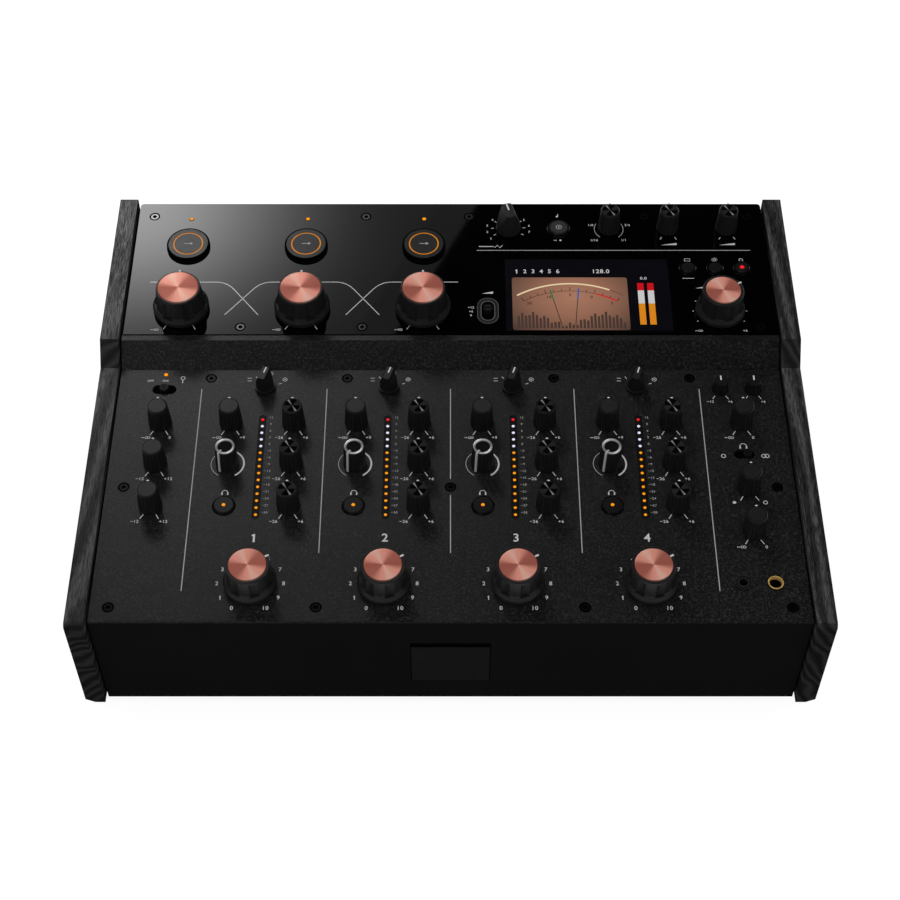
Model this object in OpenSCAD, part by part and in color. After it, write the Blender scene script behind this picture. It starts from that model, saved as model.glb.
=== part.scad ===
// Four-channel rotary DJ mixer: a folded steel body between two stained wooden
// side panels, with a lower channel deck and a raised glossy effects panel.
// Frame: X to the right, Y to the rear, Z up, origin at the centre of the
// footprint on the surface that the feet stand on.
// All that stands on the sloping top is placed in deck coordinates: x across,
// s from the front edge to the rear, n square to the deck.

/* [Body] */
// Overall width over the wooden side panels
overall_w = 380; // [378:1:400]
// Length of the lower deck, front edge to the foot of the riser
lower_l = 163.9; // [163.5:0.1:175]
// Rise from the lower to the upper deck at the side panels
riser_h = 11.2; // [10:0.1:14]
// Length of the upper deck behind the riser
upper_l = 106.7; // [106:0.1:125]
// Height of the front face
front_h = 75; // [72:1:95]
// Slope of the top, rear edge higher
top_tilt = 5; // [3:0.5:7]
// Thickness of each wooden side panel
side_t = 10; // [8:0.5:12]
// Air gap between a side panel and the metal body
side_gap = 1.2; // [0.8:0.1:2]
// Thickness of the deck sheet
deck_t = 2; // [1.5:0.1:2.2]
// Thickness of the chassis sheet
chassis_t = 1.5; // [1:0.1:2]
// Drop of the lower deck below the tops of the side panels
deck_drop = 2.5; // [1.5:0.1:4]
// Drop of the glossy panel below the tops of the side panels
gloss_drop = 2.4; // [1.5:0.1:3]
// Thickness of the glossy panel
gloss_t = 2; // [1.5:0.1:2.5]
// Width of the metal ledge in front of the glossy panel
ledge_w = 3.9; // [3:0.1:5]
// Setback of the metal front behind the side panels' front edges
front_setback = 3.5; // [2:0.1:5]
// Setback of the rear wall in front of the side panels' rear edges
rear_setback = 2.4; // [1.5:0.1:4]

/* [Feet] */
// Height of the rubber feet
foot_h = 8; // [5:0.5:12]
// Radius of a rubber foot
foot_r = 11; // [8:0.5:14]
// Inset of the feet's centres from the body's sides and ends
foot_inset = 38; // [32:1:60]

/* [Channels] */
// Distance between channel centre lines
ch_pitch = 66.7; // [66:0.1:67.5]
// Distance of the rearmost row of small knobs in front of the riser
row_gap = 35.8; // [34.9:0.1:36.9]
// Distance between the rows of small knobs
row_pitch = 27.05; // [26:0.05:27.5]
// Distance of the input selectors in front of the riser
selector_gap = 11.4; // [10.9:0.1:11.9]
// Distance of the channel level knobs from the front edge
level_s = 26.5; // [24:0.5:30]
// Distance of the microphone and booth columns from the sides of the body
outer_gap = 24.4; // [22.8:0.1:25.8]
// Distance between neighbouring meter lights
meter_pitch = 4.42; // [4:0.01:4.5]

/* [Small knobs] */
// Height of a small knob above its deck
small_h = 15.2; // [13:0.1:18]
// Radius of a small knob at its foot
small_r = 6.2; // [6:0.05:7]
// Radius of a small knob at its top
small_top_r = 5.3; // [5:0.05:5.8]
// Number of flutes round a small knob
small_flutes = 18; // [12:1:20]
// Depth of a flute of a small knob
small_flute_depth = 0.35; // [0.2:0.05:0.5]
// Radius of the bright ring on a filter knob
filter_ring_r = 5.05; // [4.8:0.05:5.2]

/* [Large knobs] */
// Height of a large knob above its deck
large_h = 17.4; // [15:0.1:20]
// Skirt radius of a channel level knob
level_skirt_r = 13.3; // [12.5:0.1:14]
// Rim radius of a channel level knob
level_rim_r = 11.25; // [10.8:0.05:11.5]
// Metal cap radius of a channel level knob
level_cap_r = 9.6; // [9:0.1:10]
// Skirt radius of a band isolator knob
band_skirt_r = 15.3; // [14.5:0.1:16]
// Rim radius of a band isolator knob
band_rim_r = 12.2; // [12:0.05:12.8]
// Metal cap radius of a band isolator knob
band_cap_r = 11.25; // [10.5:0.05:11.5]
// Number of scallops round a large knob
scallops = 7; // [6:1:9]
// Depth of a scallop
scallop_depth = 1; // [0.7:0.05:1.2]

/* [Pointer knobs] */
// Height of an input selector above the lower deck
selector_h = 12.4; // [11:0.1:15]
// Collar radius of an input selector
selector_r = 5.7; // [5.5:0.05:6]
// Height of the effect selector above the glossy panel
effect_h = 15.2; // [13:0.1:18]
// Foot radius of the effect selector
effect_r = 7.1; // [6.8:0.1:7.5]

/* [Shafts and fits] */
// Radius of every control shaft
shaft_r = 3; // [2.8:0.1:3.2]
// Running clearance between a shaft and its bush, on the radius
running_gap = 0.05; // [0.02:0.01:0.09]
// Clearance of a shaft in the hole of a deck sheet, on the radius
hole_gap = 0.75; // [0.5:0.05:1]
// Gap between the foot of a knob and its deck
knob_gap = 0.8; // [0.5:0.1:1.2]
// Clearance round a button cap, on the radius
cap_gap = 0.25; // [0.15:0.05:0.35]
// Travel of a send button
button_travel = 1; // [0.6:0.1:1.2]
// Distance from the underside of a deck sheet to its circuit board
board_drop = 9.2; // [8.8:0.1:11]
// Thickness of a circuit board
board_t = 1.6; // [1.2:0.1:2]

/* [Buttons] */
// Radius of a send button cap
send_r = 12.05; // [11.5:0.05:12.5]
// Height of a send button cap above the glossy panel
send_h = 2.6; // [2:0.1:4]
// Radius of a cue button cap
cue_r = 5.3; // [4.8:0.1:5.5]
// Radius of the tap button cap
tap_r = 5.85; // [5.3:0.05:6.2]
// Radius of a function button cap
function_r = 3.9; // [3.4:0.1:4.2]

/* [Display] */
// Width of the display window
window_w = 91.3; // [86:0.1:92]
// Length of the display window down the slope
window_l = 53; // [48:0.1:53.4]
// Thickness of the display module
display_t = 6; // [4.5:0.1:7]

/* [Jacks] */
// Bore radius of the 6.35 mm jacks
jack_bore_r = 3.2; // [3.18:0.01:3.3]
// Bore radius of the 3.5 mm phones jack
mini_bore_r = 1.8; // [1.76:0.01:1.9]
// Barrel radius of a phono socket
phono_r = 4.15; // [4.1:0.01:4.2]
// Length of a phono socket's barrel outside the rear wall
phono_l = 9.5; // [8:0.1:12]

/* [Screws] */
// Head radius of a deck screw
head_r = 2.8; // [2.6:0.05:3]
// Shank radius of a deck screw
shank_r = 1.5; // [1.3:0.1:1.6]
// Length of a deck screw below its head
screw_l = 9; // [8:0.5:11]

/* [Hidden] */
$fn = 48;
CUT = 0.5;          // how far a cutter runs past the face that it cuts

// ---- deck frame ---------------------------------------------------------
side_front_r = 3;   // rounding of the side panels' front top edge
side_rear_r = 2;    // rounding of the side panels' rear top edge
body_l = lower_l + riser_h + upper_l;
side_inner = overall_w / 2 - side_t;
body_half = side_inner - side_gap;
deck_n = -deck_drop;
gloss_n = riser_h - gloss_drop;
ledge_n = gloss_n - 0.5;
pocket_n = gloss_n - gloss_t;
upper_under_n = pocket_n - deck_t;
lower_under_n = deck_n - deck_t;
rear_s = body_l - rear_setback;
riser_foot_s = lower_l + 0.7;
riser_top_s = lower_l + riser_h + 1.6;
pocket_s = riser_top_s + ledge_w - 0.2;
spread = body_half / 178.8;     // how wide the body is against its usual width
function wide(xs) = [for (x = xs) x * spread];
riser_angle = atan2(ledge_n - deck_n, riser_top_s - riser_foot_s);
inner_foot_s = riser_foot_s + deck_t * tan(riser_angle / 2);
inner_top_s = inner_foot_s + (upper_under_n - lower_under_n) / tan(riser_angle);
chassis_front_s = front_setback + deck_t;
wall_inner_s = rear_s - chassis_t;

// Deck coordinate n of the underside of the body at a distance s
function base_n(s) = -front_h - s * tan(top_tilt);

// Rows of sockets on the rear wall
socket_row_1 = -28;
socket_row_2 = -46;
socket_row_3 = -72;

// Footprint in Y before centring: rounded front edge and the lowest rear barrels
front_reach = side_front_r * (cos(top_tilt) + sin(top_tilt) - 1);
barrel_reach = (rear_s + phono_l) * cos(top_tilt) - (socket_row_3 - phono_r) * sin(top_tilt);
corner_reach = body_l * cos(top_tilt) - base_n(body_l) * sin(top_tilt);
deck_y = -(front_reach + max(barrel_reach, corner_reach)) / 2;
deck_z = foot_h + front_h * cos(top_tilt);

module on_deck() {
    translate([0, deck_y, deck_z]) rotate([top_tilt, 0, 0]) children();
}

// Extrudes an outline drawn in (s, n) across the width from x0 for w
module across(x0, w) {
    translate([x0, 0, 0]) rotate([90, 0, 90]) linear_extrude(w) children();
}

// ---- places of the controls ---------------------------------------------
function ch_x(i) = (i - 2.5) * ch_pitch;    // i runs from 1 to 4
col = ch_pitch / 4;
row_first = lower_l - row_gap;
selector_s = lower_l - selector_gap;
outer_col = body_half - outer_gap;
row_2 = row_first - row_pitch;
row_3 = row_first - 2 * row_pitch;
upper_s0 = lower_l + riser_h;
top_row_s = upper_s0 + 84.4;
band_s = upper_s0 + 24.3;
send_s = upper_s0 + 70.7;
send_light_s = upper_s0 + 92.1;
boost_ring = [12, 19];
master_skirt_r = level_skirt_r + 0.2;
// The bare width between the big controls of the glossy panel, left to right,
// is shared out among them in fixed parts of 135.5
bare_w = 2 * body_half - 6 * band_skirt_r - boost_ring[0] - window_w - 2 * master_skirt_r;
function bare(part) = -body_half + bare_w * part / 135.5;
band_x = [
    bare(15.4) + band_skirt_r, bare(51.35) + 3 * band_skirt_r, bare(87.25) + 5 * band_skirt_r];
boost_x = bare(101.6) + 6 * band_skirt_r + boost_ring[0] / 2;
window_x = bare(105.55) + 6 * band_skirt_r + boost_ring[0] + window_w / 2;
master_x = bare(118.4) + 6 * band_skirt_r + boost_ring[0] + window_w + master_skirt_r;
effect_x = 33 * spread;
tap_x = 61.7 * spread;
beat_x = 90.2 * spread;
parameter_x = 123.6 * spread;
return_x = 157 * spread;
master_s = upper_s0 + 22.3;
boost_s = upper_s0 + 22;
function_x = wide([133.1, 148.4, 163.3]);
function_s = upper_s0 + 54;
window_s = upper_s0 + 34.4;
phones_mix_s = lower_l - 78.4;
phones_level_s = lower_l - 105.6;
mono_s = lower_l - 56.6;
booth_eq_x = [outer_col - 9.1, outer_col + 8.6];
booth_eq_s = lower_l - 12.7;
talk_s = lower_l - 12.9;
talk_light_s = lower_l - 2.7;
mini_jack_x = outer_col - 8.1;
phones_jack_x = outer_col + 8.05;
phones_jack_s = 26.8;
meter_lights = 15;
meter_s = lower_l - 64.4;
meter_w = 3.6;
meter_l = (meter_lights - 1) * meter_pitch + 5.4;

// Every shaft through a deck sheet: [x, s]
lower_shafts = concat(
    [for (i = [1:4]) each [
        [ch_x(i), selector_s], [ch_x(i), level_s],
        [ch_x(i) - col, row_first], [ch_x(i) - col, row_2],
        [ch_x(i) + col, row_first], [ch_x(i) + col, row_2], [ch_x(i) + col, row_3]]],
    [for (s = [row_first, row_2, row_3]) [-outer_col, s]],
    [for (s = [row_first, phones_mix_s, phones_level_s]) [outer_col, s]],
    [for (x = booth_eq_x) [x, booth_eq_s]]);
upper_shafts = concat(
    [for (x = band_x) [x, band_s]],
    [for (x = [effect_x, beat_x, parameter_x, return_x]) [x, top_row_s]],
    [[master_x, master_s]]);
cue_places = [for (i = [1:4]) [ch_x(i) - col, row_3]];
meter_places = [for (i = [1:4]) [ch_x(i), meter_s]];

// Screws through the deck sheets: [x, s]
edge_x = body_half - 9.3;
outer_screw_x = ch_x(4) + 0.653 * (booth_eq_x[0] - ch_x(4));
lower_screws = [
    for (x = [-edge_x, -ch_pitch, ch_pitch, edge_x]) [x, 12.5],
    for (x = [-edge_x, 0, edge_x]) [x, lower_l - 77.9],
    for (x = [-outer_screw_x, -0.838 * ch_pitch, 0.838 * ch_pitch, outer_screw_x]) [x, lower_l - 5.1]];
upper_screws = [
    for (x = [-edge_x, -48.3 * spread, 10.7 * spread, 110.9 * spread, edge_x]) [x, rear_s - 10.1],
    for (x = [(band_x[0] + band_x[1]) / 2, (band_x[1] + band_x[2]) / 2, edge_x]) [x, upper_s0 + 10.8]];

// Depths below the top surface of a deck
lower_stack = deck_t;
upper_stack = gloss_t + deck_t;
head_sink = 1.4;    // depth of a screw head's recess
bush_r = shaft_r + 1.3;
can_w = 9.8;        // side of a potentiometer's square can
can_drop = 2.4;     // top of the can below the underside of the sheet
function board_top(stack) = -stack - board_drop;

module on_lower(x, s) { translate([x, s, deck_n]) children(); }
module on_upper(x, s) { translate([x, s, gloss_n]) children(); }

// ---- small shapes -------------------------------------------------------
// A round hole from z = -depth up past the surface
module hole(r, depth) { translate([0, 0, -depth]) cylinder(r = r, h = depth + 4 * CUT); }

// Round-ended bar w by l over its ends, long along y, standing on z = 0
module slot(w, l, h) {
    for (e = [-1, 1]) translate([0, e * (l - w) / 2, 0]) cylinder(r = w / 2, h = h);
    translate([-w / 2, -(l - w) / 2, 0]) cube([w, l - w, h]);
}

module box_at(w, l, h) { translate([-w / 2, -l / 2, 0]) cube([w, l, h]); }

// ---- wooden side panels -------------------------------------------------
chamfer_w = 4.7;    // chamfer of the outer bottom edge
chamfer_h = 3;
side_fixings = [[22, -60], [22, -20], [body_l - 34, -22], [body_l - 34, -76]];
insert_l = 7;
washer_r = 6;

module side_outline() {
    polygon([
        [0, base_n(0)], [0, -side_front_r], [side_front_r, 0],
        [lower_l, 0], [lower_l + riser_h, riser_h],
        [body_l - side_rear_r, riser_h], [body_l, riser_h - side_rear_r],
        [body_l, base_n(body_l)]]);
}

module side_body(x0) {
    across(x0, side_t) side_outline();
    across(x0, side_t) translate([side_front_r, -side_front_r]) circle(side_front_r);
    across(x0, side_t) translate([body_l - side_rear_r, riser_h - side_rear_r]) circle(side_rear_r);
}

module side_panel(side) {
    color("#26262a") difference() {
        on_deck() side_body(side > 0 ? side_inner : -side_inner - side_t);
        translate([side * overall_w / 2, 0, foot_h]) rotate([90, 0, 0])
            linear_extrude(2 * body_l, center = true)
                polygon([
                    [-side * chamfer_w, 0], [-side * chamfer_w, -CUT], [side * CUT, -CUT],
                    [side * CUT, chamfer_h], [0, chamfer_h]]);
        on_deck() for (p = side_fixings)
            translate([side * (side_inner - CUT), p[0], p[1]]) rotate([0, side * 90, 0])
                cylinder(r = shank_r + 0.1, h = insert_l + CUT);
    }
}

// ---- folded deck and glossy panel ---------------------------------------
bend_r = 1.1;
talk_slot = [6.3, 13];
mono_slot = [5.6, 11];
boost_well = [6.9, 13.4];
light_r = 1.3;
panel_jack_r = 4.2;

module deck_outline() {
    polygon([
        [front_setback, base_n(front_setback)], [front_setback, deck_n - bend_r],
        [front_setback + bend_r, deck_n],
        [riser_foot_s, deck_n], [riser_top_s, ledge_n], [pocket_s, ledge_n],
        [pocket_s, pocket_n], [rear_s, pocket_n], [rear_s, upper_under_n],
        [inner_top_s, upper_under_n], [inner_foot_s, lower_under_n],
        [chassis_front_s, lower_under_n], [chassis_front_s, base_n(chassis_front_s)]]);
}

module bend_outline() { translate([front_setback + bend_r, deck_n - bend_r]) circle(bend_r); }

// Openings through the glossy panel, also cut in the sheet with more room
module upper_openings(extra, depth) {
    for (p = upper_shafts) on_upper(p[0], p[1]) hole(shaft_r + hole_gap, depth);
    for (x = band_x) {
        on_upper(x, send_s) hole(send_r + cap_gap + extra, depth);
        on_upper(x, send_light_s) hole(light_r + 0.1, depth);
    }
    on_upper(tap_x, top_row_s) hole(tap_r + cap_gap + extra, depth);
    for (x = function_x) on_upper(x, function_s) hole(function_r + cap_gap + extra, depth);
    on_upper(boost_x, boost_s) translate([0, 0, -depth])
        slot(boost_ring[0] - 2, boost_ring[1] - 2, depth + CUT);
    on_upper(window_x, window_s) translate([0, 0, -depth])
        box_at(window_w + 0.2 + extra, window_l + 0.2 + extra, depth + CUT);
    for (p = upper_screws) on_upper(p[0], p[1]) hole(shank_r + 0.2, depth);
}

module lower_openings() {
    depth = deck_t + CUT;
    for (p = lower_shafts) on_lower(p[0], p[1]) hole(shaft_r + hole_gap, depth);
    for (p = cue_places) on_lower(p[0], p[1]) hole(cue_r + cap_gap, depth);
    for (p = meter_places) on_lower(p[0], p[1]) translate([0, 0, -depth])
        slot(meter_w + 0.3, meter_l + 0.3, depth + CUT);
    on_lower(-outer_col, talk_s) translate([0, 0, -depth]) rotate([0, 0, 90])
        slot(talk_slot[0], talk_slot[1], depth + CUT);
    on_lower(outer_col, mono_s) translate([0, 0, -depth]) rotate([0, 0, 90])
        slot(mono_slot[0], mono_slot[1], depth + CUT);
    on_lower(-outer_col, talk_light_s) hole(light_r + 0.1, depth);
    for (x = [mini_jack_x, phones_jack_x]) on_lower(x, phones_jack_s) hole(panel_jack_r + 0.15, depth);
    for (p = lower_screws) on_lower(p[0], p[1]) {
        hole(shank_r + 0.2, depth);
        hole(head_r + cap_gap, head_sink);
    }
}

module control_deck() {
    color("#1b1b1d") on_deck() difference() {
        union() {
            across(-body_half, 2 * body_half) deck_outline();
            across(-body_half, 2 * body_half) bend_outline();
        }
        lower_openings();
        upper_openings(0.3, upper_stack + CUT);
    }
}

module glossy_panel() {
    corner_r = 2;
    half_w = body_half - 0.5;
    front = pocket_s + 0.2;
    color("#0c0c0e") on_deck() difference() {
        translate([0, 0, pocket_n]) linear_extrude(gloss_t) union() {
            translate([-half_w, front]) square([2 * half_w, rear_s - front - corner_r]);
            translate([-half_w + corner_r, front]) square([2 * (half_w - corner_r), rear_s - front]);
            for (e = [-1, 1]) translate([e * (half_w - corner_r), rear_s - corner_r]) circle(corner_r);
        }
        upper_openings(0, gloss_t + CUT);
        for (p = upper_screws) on_upper(p[0], p[1]) hole(head_r + cap_gap, head_sink);
    }
}

// ---- chassis ------------------------------------------------------------
pillar_r = 4;
pillar_bore_l = screw_l;

module tray_outline() {
    polygon([
        [chassis_front_s, base_n(chassis_front_s)], [rear_s, base_n(rear_s)],
        [rear_s, upper_under_n], [wall_inner_s, upper_under_n],
        [wall_inner_s, base_n(wall_inner_s) + chassis_t],
        [chassis_front_s, base_n(chassis_front_s) + chassis_t]]);
}

module wall_outline() {
    polygon([
        [chassis_front_s, base_n(chassis_front_s)], [chassis_front_s, lower_under_n],
        [inner_foot_s, lower_under_n], [inner_top_s, upper_under_n],
        [rear_s, upper_under_n], [rear_s, base_n(rear_s)]]);
}

module pillar(p, top_n) {
    foot_n = base_n(p[1]) + chassis_t / 2;
    translate([p[0], p[1], foot_n]) difference() {
        cylinder(r = pillar_r, h = top_n - foot_n);
        translate([0, 0, top_n - foot_n - pillar_bore_l])
            cylinder(r = shank_r + 0.05, h = pillar_bore_l + CUT);
    }
}

// Slots for cooling air in the floor, in two banks
module vents() {
    for (x = wide([-75, 75])) for (i = [0:6]) translate([x, 100 + i * 9, base_n(100 + i * 9) - 2])
        rotate([0, 0, 90]) slot(3, 56, 8);
}

module chassis_tray() {
    color("#202022") on_deck() difference() {
        union() {
            across(-body_half, 2 * body_half) tray_outline();
            for (x = [-body_half, body_half - chassis_t]) across(x, chassis_t) wall_outline();
            for (p = lower_screws) pillar(p, lower_under_n);
            for (p = upper_screws) pillar(p, upper_under_n);
            for (side = [-1, 1]) for (p = side_fixings)
                translate([side * (body_half - chassis_t / 2), p[0], p[1]]) rotate([0, side * 90, 0])
                    cylinder(r = washer_r, h = side_gap + chassis_t / 2);
        }
        for (side = [-1, 1]) for (p = side_fixings)
            translate([side * (body_half - 2 * chassis_t), p[0], p[1]]) rotate([0, side * 90, 0])
                cylinder(r = shank_r + 0.2, h = side_gap + 2 * chassis_t + CUT);
        rear_openings();
        vents();
    }
}

module feet() {
    color("#151515") for (x = [-1, 1]) for (s = [foot_inset, body_l - foot_inset])
        translate([x * (body_half - foot_inset), s + deck_y, 0]) rotate_extrude()
            polygon([[0, 0], [foot_r - 1.8, 0], [foot_r - 1, 0.8], [foot_r, foot_h], [0, foot_h]]);
}

// A pan-head screw along -z, its head standing on z = 0
module screw(h_head, l) {
    difference() {
        union() {
            cylinder(r = head_r, h = h_head);
            translate([0, 0, -l]) cylinder(r = shank_r, h = l + h_head / 2);
        }
        translate([0, 0, h_head - 1]) cylinder(r = 1.3, h = 1 + CUT, $fn = 6);
    }
}

module screws() {
    head_h = 1.3;
    color("#3a3a3d") on_deck() {
        for (p = lower_screws) on_lower(p[0], p[1]) translate([0, 0, -head_sink]) screw(head_h, screw_l);
        for (p = upper_screws) on_upper(p[0], p[1]) translate([0, 0, -head_sink]) screw(head_h, screw_l);
        for (side = [-1, 1]) for (p = side_fixings)
            translate([side * (body_half - chassis_t), p[0], p[1]]) rotate([0, -side * 90, 0])
                screw(1.6, chassis_t + side_gap + insert_l - 0.5);
    }
}

// ---- display and lights -------------------------------------------------
module display_module() {
    leg_h = board_drop + upper_stack - display_t;
    color("#15141a") on_deck() on_upper(window_x, window_s) {
        translate([0, 0, -display_t]) difference() {
            box_at(window_w, window_l, display_t - 0.05);
            translate([0, 0, -CUT]) box_at(window_w - 16, window_l - 14, 1.2 + CUT);
        }
        for (x = [-1, 1]) for (s = [-1, 1])
            translate([x * (window_w / 2 - 4), s * (window_l / 2 - 4), -display_t - leg_h])
                cylinder(r = 2.5, h = leg_h);
    }
}

// A bar of lights standing on the lower board, with a raised lens over each
module meter_bar() {
    top = -0.25;
    lens_r = 0.95;
    translate([0, 0, board_top(lower_stack)]) slot(meter_w, meter_l, top - board_top(lower_stack));
    for (i = [0:meter_lights - 1])
        translate([0, (i - (meter_lights - 1) / 2) * meter_pitch, top])
            cylinder(r = lens_r, h = 0.2, $fn = 24);
}

module light_pipe(stack) {
    translate([0, 0, board_top(stack)]) cylinder(r = light_r, h = 0.2 - board_top(stack));
}

module indicator_lights() {
    color("#f0a030") on_deck() {
        for (p = meter_places) on_lower(p[0], p[1]) meter_bar();
        on_lower(-outer_col, talk_light_s) light_pipe(lower_stack);
        for (x = band_x) on_upper(x, send_light_s) light_pipe(upper_stack);
    }
}

// ---- control boards -----------------------------------------------------
bore_floor = 0.4;   // bottom of a shaft bore above the board
shaft_lift = 0.6;   // end of a shaft above the board

// Potentiometer under a knob: square can with a bush that guides the shaft
module pot(stack) {
    top = -stack - can_drop;
    difference() {
        union() {
            translate([0, 0, board_top(stack)]) box_at(can_w, can_w, top - board_top(stack));
            translate([0, 0, top - 1]) cylinder(r = bush_r, h = 3);
        }
        translate([0, 0, board_top(stack) + bore_floor]) cylinder(r = shaft_r + running_gap, h = 20);
    }
}

// Push switch under a button: its plunger bore takes the cap's stem
stem_r = 2;
module push_switch(w, stack) {
    difference() {
        translate([0, 0, board_top(stack)]) box_at(w, w, board_drop - button_drop);
        translate([0, 0, board_top(stack) + 0.2]) cylinder(r = stem_r + running_gap, h = 20);
    }
}
button_drop = 3.5;  // top of a push switch below the underside of the sheet

// Slide switch: a channel along y guides the lever's foot
lever_foot = [2, 3.2];
module slide_switch(stack, travel, offset) {
    len = lever_foot[1] + 2 * travel + 0.6;
    difference() {
        translate([0, 0, board_top(stack)]) box_at(7, len + 5, board_drop - 0.6);
        translate([0, offset, board_top(stack) + bore_floor])
            box_at(lever_foot[0] + 2 * running_gap, len, 20);
    }
}

// Phones jack: collar through the deck on a body that hangs through the board
jack_body_w = 13;
module panel_jack(bore_r, depth) {
    difference() {
        union() {
            translate([0, 0, -depth - 2]) box_at(jack_body_w, jack_body_w, depth + 2 - lower_stack - 0.6);
            translate([0, 0, -lower_stack - 2]) cylinder(r = panel_jack_r, h = lower_stack + 2.6);
        }
        translate([0, 0, -depth]) cylinder(r = bore_r, h = depth + 5);
    }
}

// Room round every pillar between two heights
module pillar_room(n0, n1) {
    for (p = concat(lower_screws, upper_screws))
        translate([p[0], p[1], n0]) cylinder(r = pillar_r + 0.6, h = n1 - n0);
}

// Control board from s0 to s1 with its top at n, open round pillars and jacks
module board(half_w, s0, s1, top_n) {
    difference() {
        translate([-half_w, s0, top_n - board_t]) cube([2 * half_w, s1 - s0, board_t]);
        pillar_room(top_n - board_t - CUT, top_n + CUT);
        for (x = [mini_jack_x, phones_jack_x]) translate([x, phones_jack_s, top_n - board_t - CUT])
            box_at(jack_body_w + 1, jack_body_w + 1, board_t + 2 * CUT);
    }
}

// Spacer from a board up to the underside of its sheet
module spacer(stack) { translate([0, 0, board_top(stack)]) cylinder(r = 3, h = board_drop); }

module control_boards() {
    board_half = body_half - 8;
    on_deck() {
        board(board_half, 10, riser_foot_s - 2, deck_n + board_top(lower_stack));
        board(board_half, pocket_s + 2, wall_inner_s - 6, gloss_n + board_top(upper_stack));
        for (p = lower_shafts) on_lower(p[0], p[1]) pot(lower_stack);
        for (p = upper_shafts) on_upper(p[0], p[1]) pot(upper_stack);
        for (p = cue_places) on_lower(p[0], p[1]) push_switch(8, lower_stack);
        for (x = band_x) on_upper(x, send_s) push_switch(14, upper_stack);
        on_upper(tap_x, top_row_s) push_switch(8, upper_stack);
        for (x = function_x) on_upper(x, function_s) push_switch(6, upper_stack);
        on_lower(-outer_col, talk_s) rotate([0, 0, -90]) slide_switch(lower_stack, 4, 0);
        on_lower(outer_col, mono_s) rotate([0, 0, -90]) slide_switch(lower_stack, 1.75, 0);
        on_upper(boost_x, boost_s) slide_switch(upper_stack, 2.8, 0);
        for (x = [-2, -1, 0, 1, 2]) for (gap = [121.9, 46.9])
            on_lower(x * ch_pitch, lower_l - gap) spacer(lower_stack);
        for (x = wide([-115, -48, 10])) for (s = [0, 42]) on_upper(x, window_s + s) spacer(upper_stack);
        for (x = wide([127, 172])) on_upper(x, window_s + 26) spacer(upper_stack);
    }
}

// Level board on the floor, with the power supply and output transformers
main_board_h = 8;   // height of the board above the floor
module main_board() {
    floor_z = foot_h + chassis_t;
    y0 = deck_y + 40;
    top_z = floor_z + main_board_h + board_t;
    half_w = body_half - 28.8;
    l = body_l - 86.8;
    difference() {
        translate([-half_w, y0, top_z - board_t]) cube([2 * half_w, l, board_t]);
        on_deck() pillar_room(base_n(body_l), -30);
    }
    for (x = [10 - half_w, 30, half_w - 10]) for (y = [8, l / 2 + 2.5, l - 7])
        translate([x, y0 + y, floor_z]) cylinder(r = 3, h = main_board_h);
    translate([0, 0, top_z]) {
        for (x = [-30, 5]) translate([x, y0 + l - 27, 0]) box_at(28, 24, 24);
        translate([half_w - 32, y0 + 60, 0]) box_at(38, 34, 28);
        for (y = [98, 120]) translate([half_w - 44, y0 + y, 0]) cylinder(r = 9, h = 26);
        for (x = [-110, -70]) for (y = [60, 110]) translate([x, y0 + y, 0]) box_at(22, 22, 3);
    }
}

module circuit_boards() {
    color("#2b5a3c") {
        control_boards();
        main_board();
    }
}

// ---- sockets ------------------------------------------------------------
phono_columns = wide([36, -6, -24, -64, -82, -100]);
digital_columns = wide([-6, -24, -64, -82]);
xlr_out_x = [78 * spread + 14, 78 * spread - 14];
jack_places = concat([for (x = wide([36, -100])) [x, socket_row_3]], [for (x = xlr_out_x) [x, -78]]);
xlr_in_x = -134 * spread;
xlr_n = -42;
usb_x = [-body_half + 54.8, -body_half + 32.8];
usb_n = -78;
inlet_x = body_half - 36.8;
inlet_n = -66;
rocker_n = -30;
ground_x = -48.3 * spread;
socket_depth = 14.5;    // from the rear wall to the socket board
socket_board_s = wall_inner_s - socket_depth;
xlr_shell_r = 9.6;
inlet_size = [27, 20];
rocker_size = [13, 20];
usb_size = [12, 11];

// Places children on the rear wall's outer face, +z out of the body
module on_rear(x, n) { translate([x, rear_s, n]) rotate([-90, 0, 0]) children(); }

// Cylinder through the rear wall, reaching h outside it
module rear_hole(r) { translate([0, 0, -chassis_t - CUT]) cylinder(r = r, h = chassis_t + 2 * CUT); }
module rear_window(w, l) { translate([0, 0, -chassis_t - CUT]) box_at(w, l, chassis_t + 2 * CUT); }

module rear_openings() {
    for (x = phono_columns) for (n = [socket_row_1, socket_row_2]) on_rear(x, n) rear_hole(phono_r + 0.3);
    for (x = digital_columns) on_rear(x, socket_row_3) rear_hole(phono_r + 0.3);
    for (p = jack_places) on_rear(p[0], p[1]) rear_hole(jack_collar_r + 0.3);
    for (x = concat(xlr_out_x, [xlr_in_x])) on_rear(x, xlr_n) rear_hole(xlr_body_r + 0.3);
    for (x = usb_x) on_rear(x, usb_n) rear_window(usb_size[0] + 0.6, usb_size[1] + 0.6);
    on_rear(inlet_x, inlet_n) rear_window(inlet_size[0] + 0.6, inlet_size[1] + 0.6);
    on_rear(inlet_x, rocker_n) rear_window(rocker_size[0] + 0.6, rocker_size[1] + 0.6);
    for (n = [socket_row_1, socket_row_2]) on_rear(ground_x, n) rear_hole(2.2);
}
jack_collar_r = 6;
jack_depth = 32;        // depth of a 6.35 mm jack's bore
xlr_body_r = 11.5;

// Phono socket: block behind the wall, barrel through it
module phono_socket() {
    difference() {
        union() {
            translate([0, 0, -chassis_t - socket_depth]) box_at(12, 12, socket_depth - 0.3);
            translate([0, 0, -chassis_t - 2]) cylinder(r = phono_r, h = chassis_t + 2 + phono_l);
        }
        translate([0, 0, -chassis_t - 4]) cylinder(r = 1.65, h = 30);
    }
}

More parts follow.
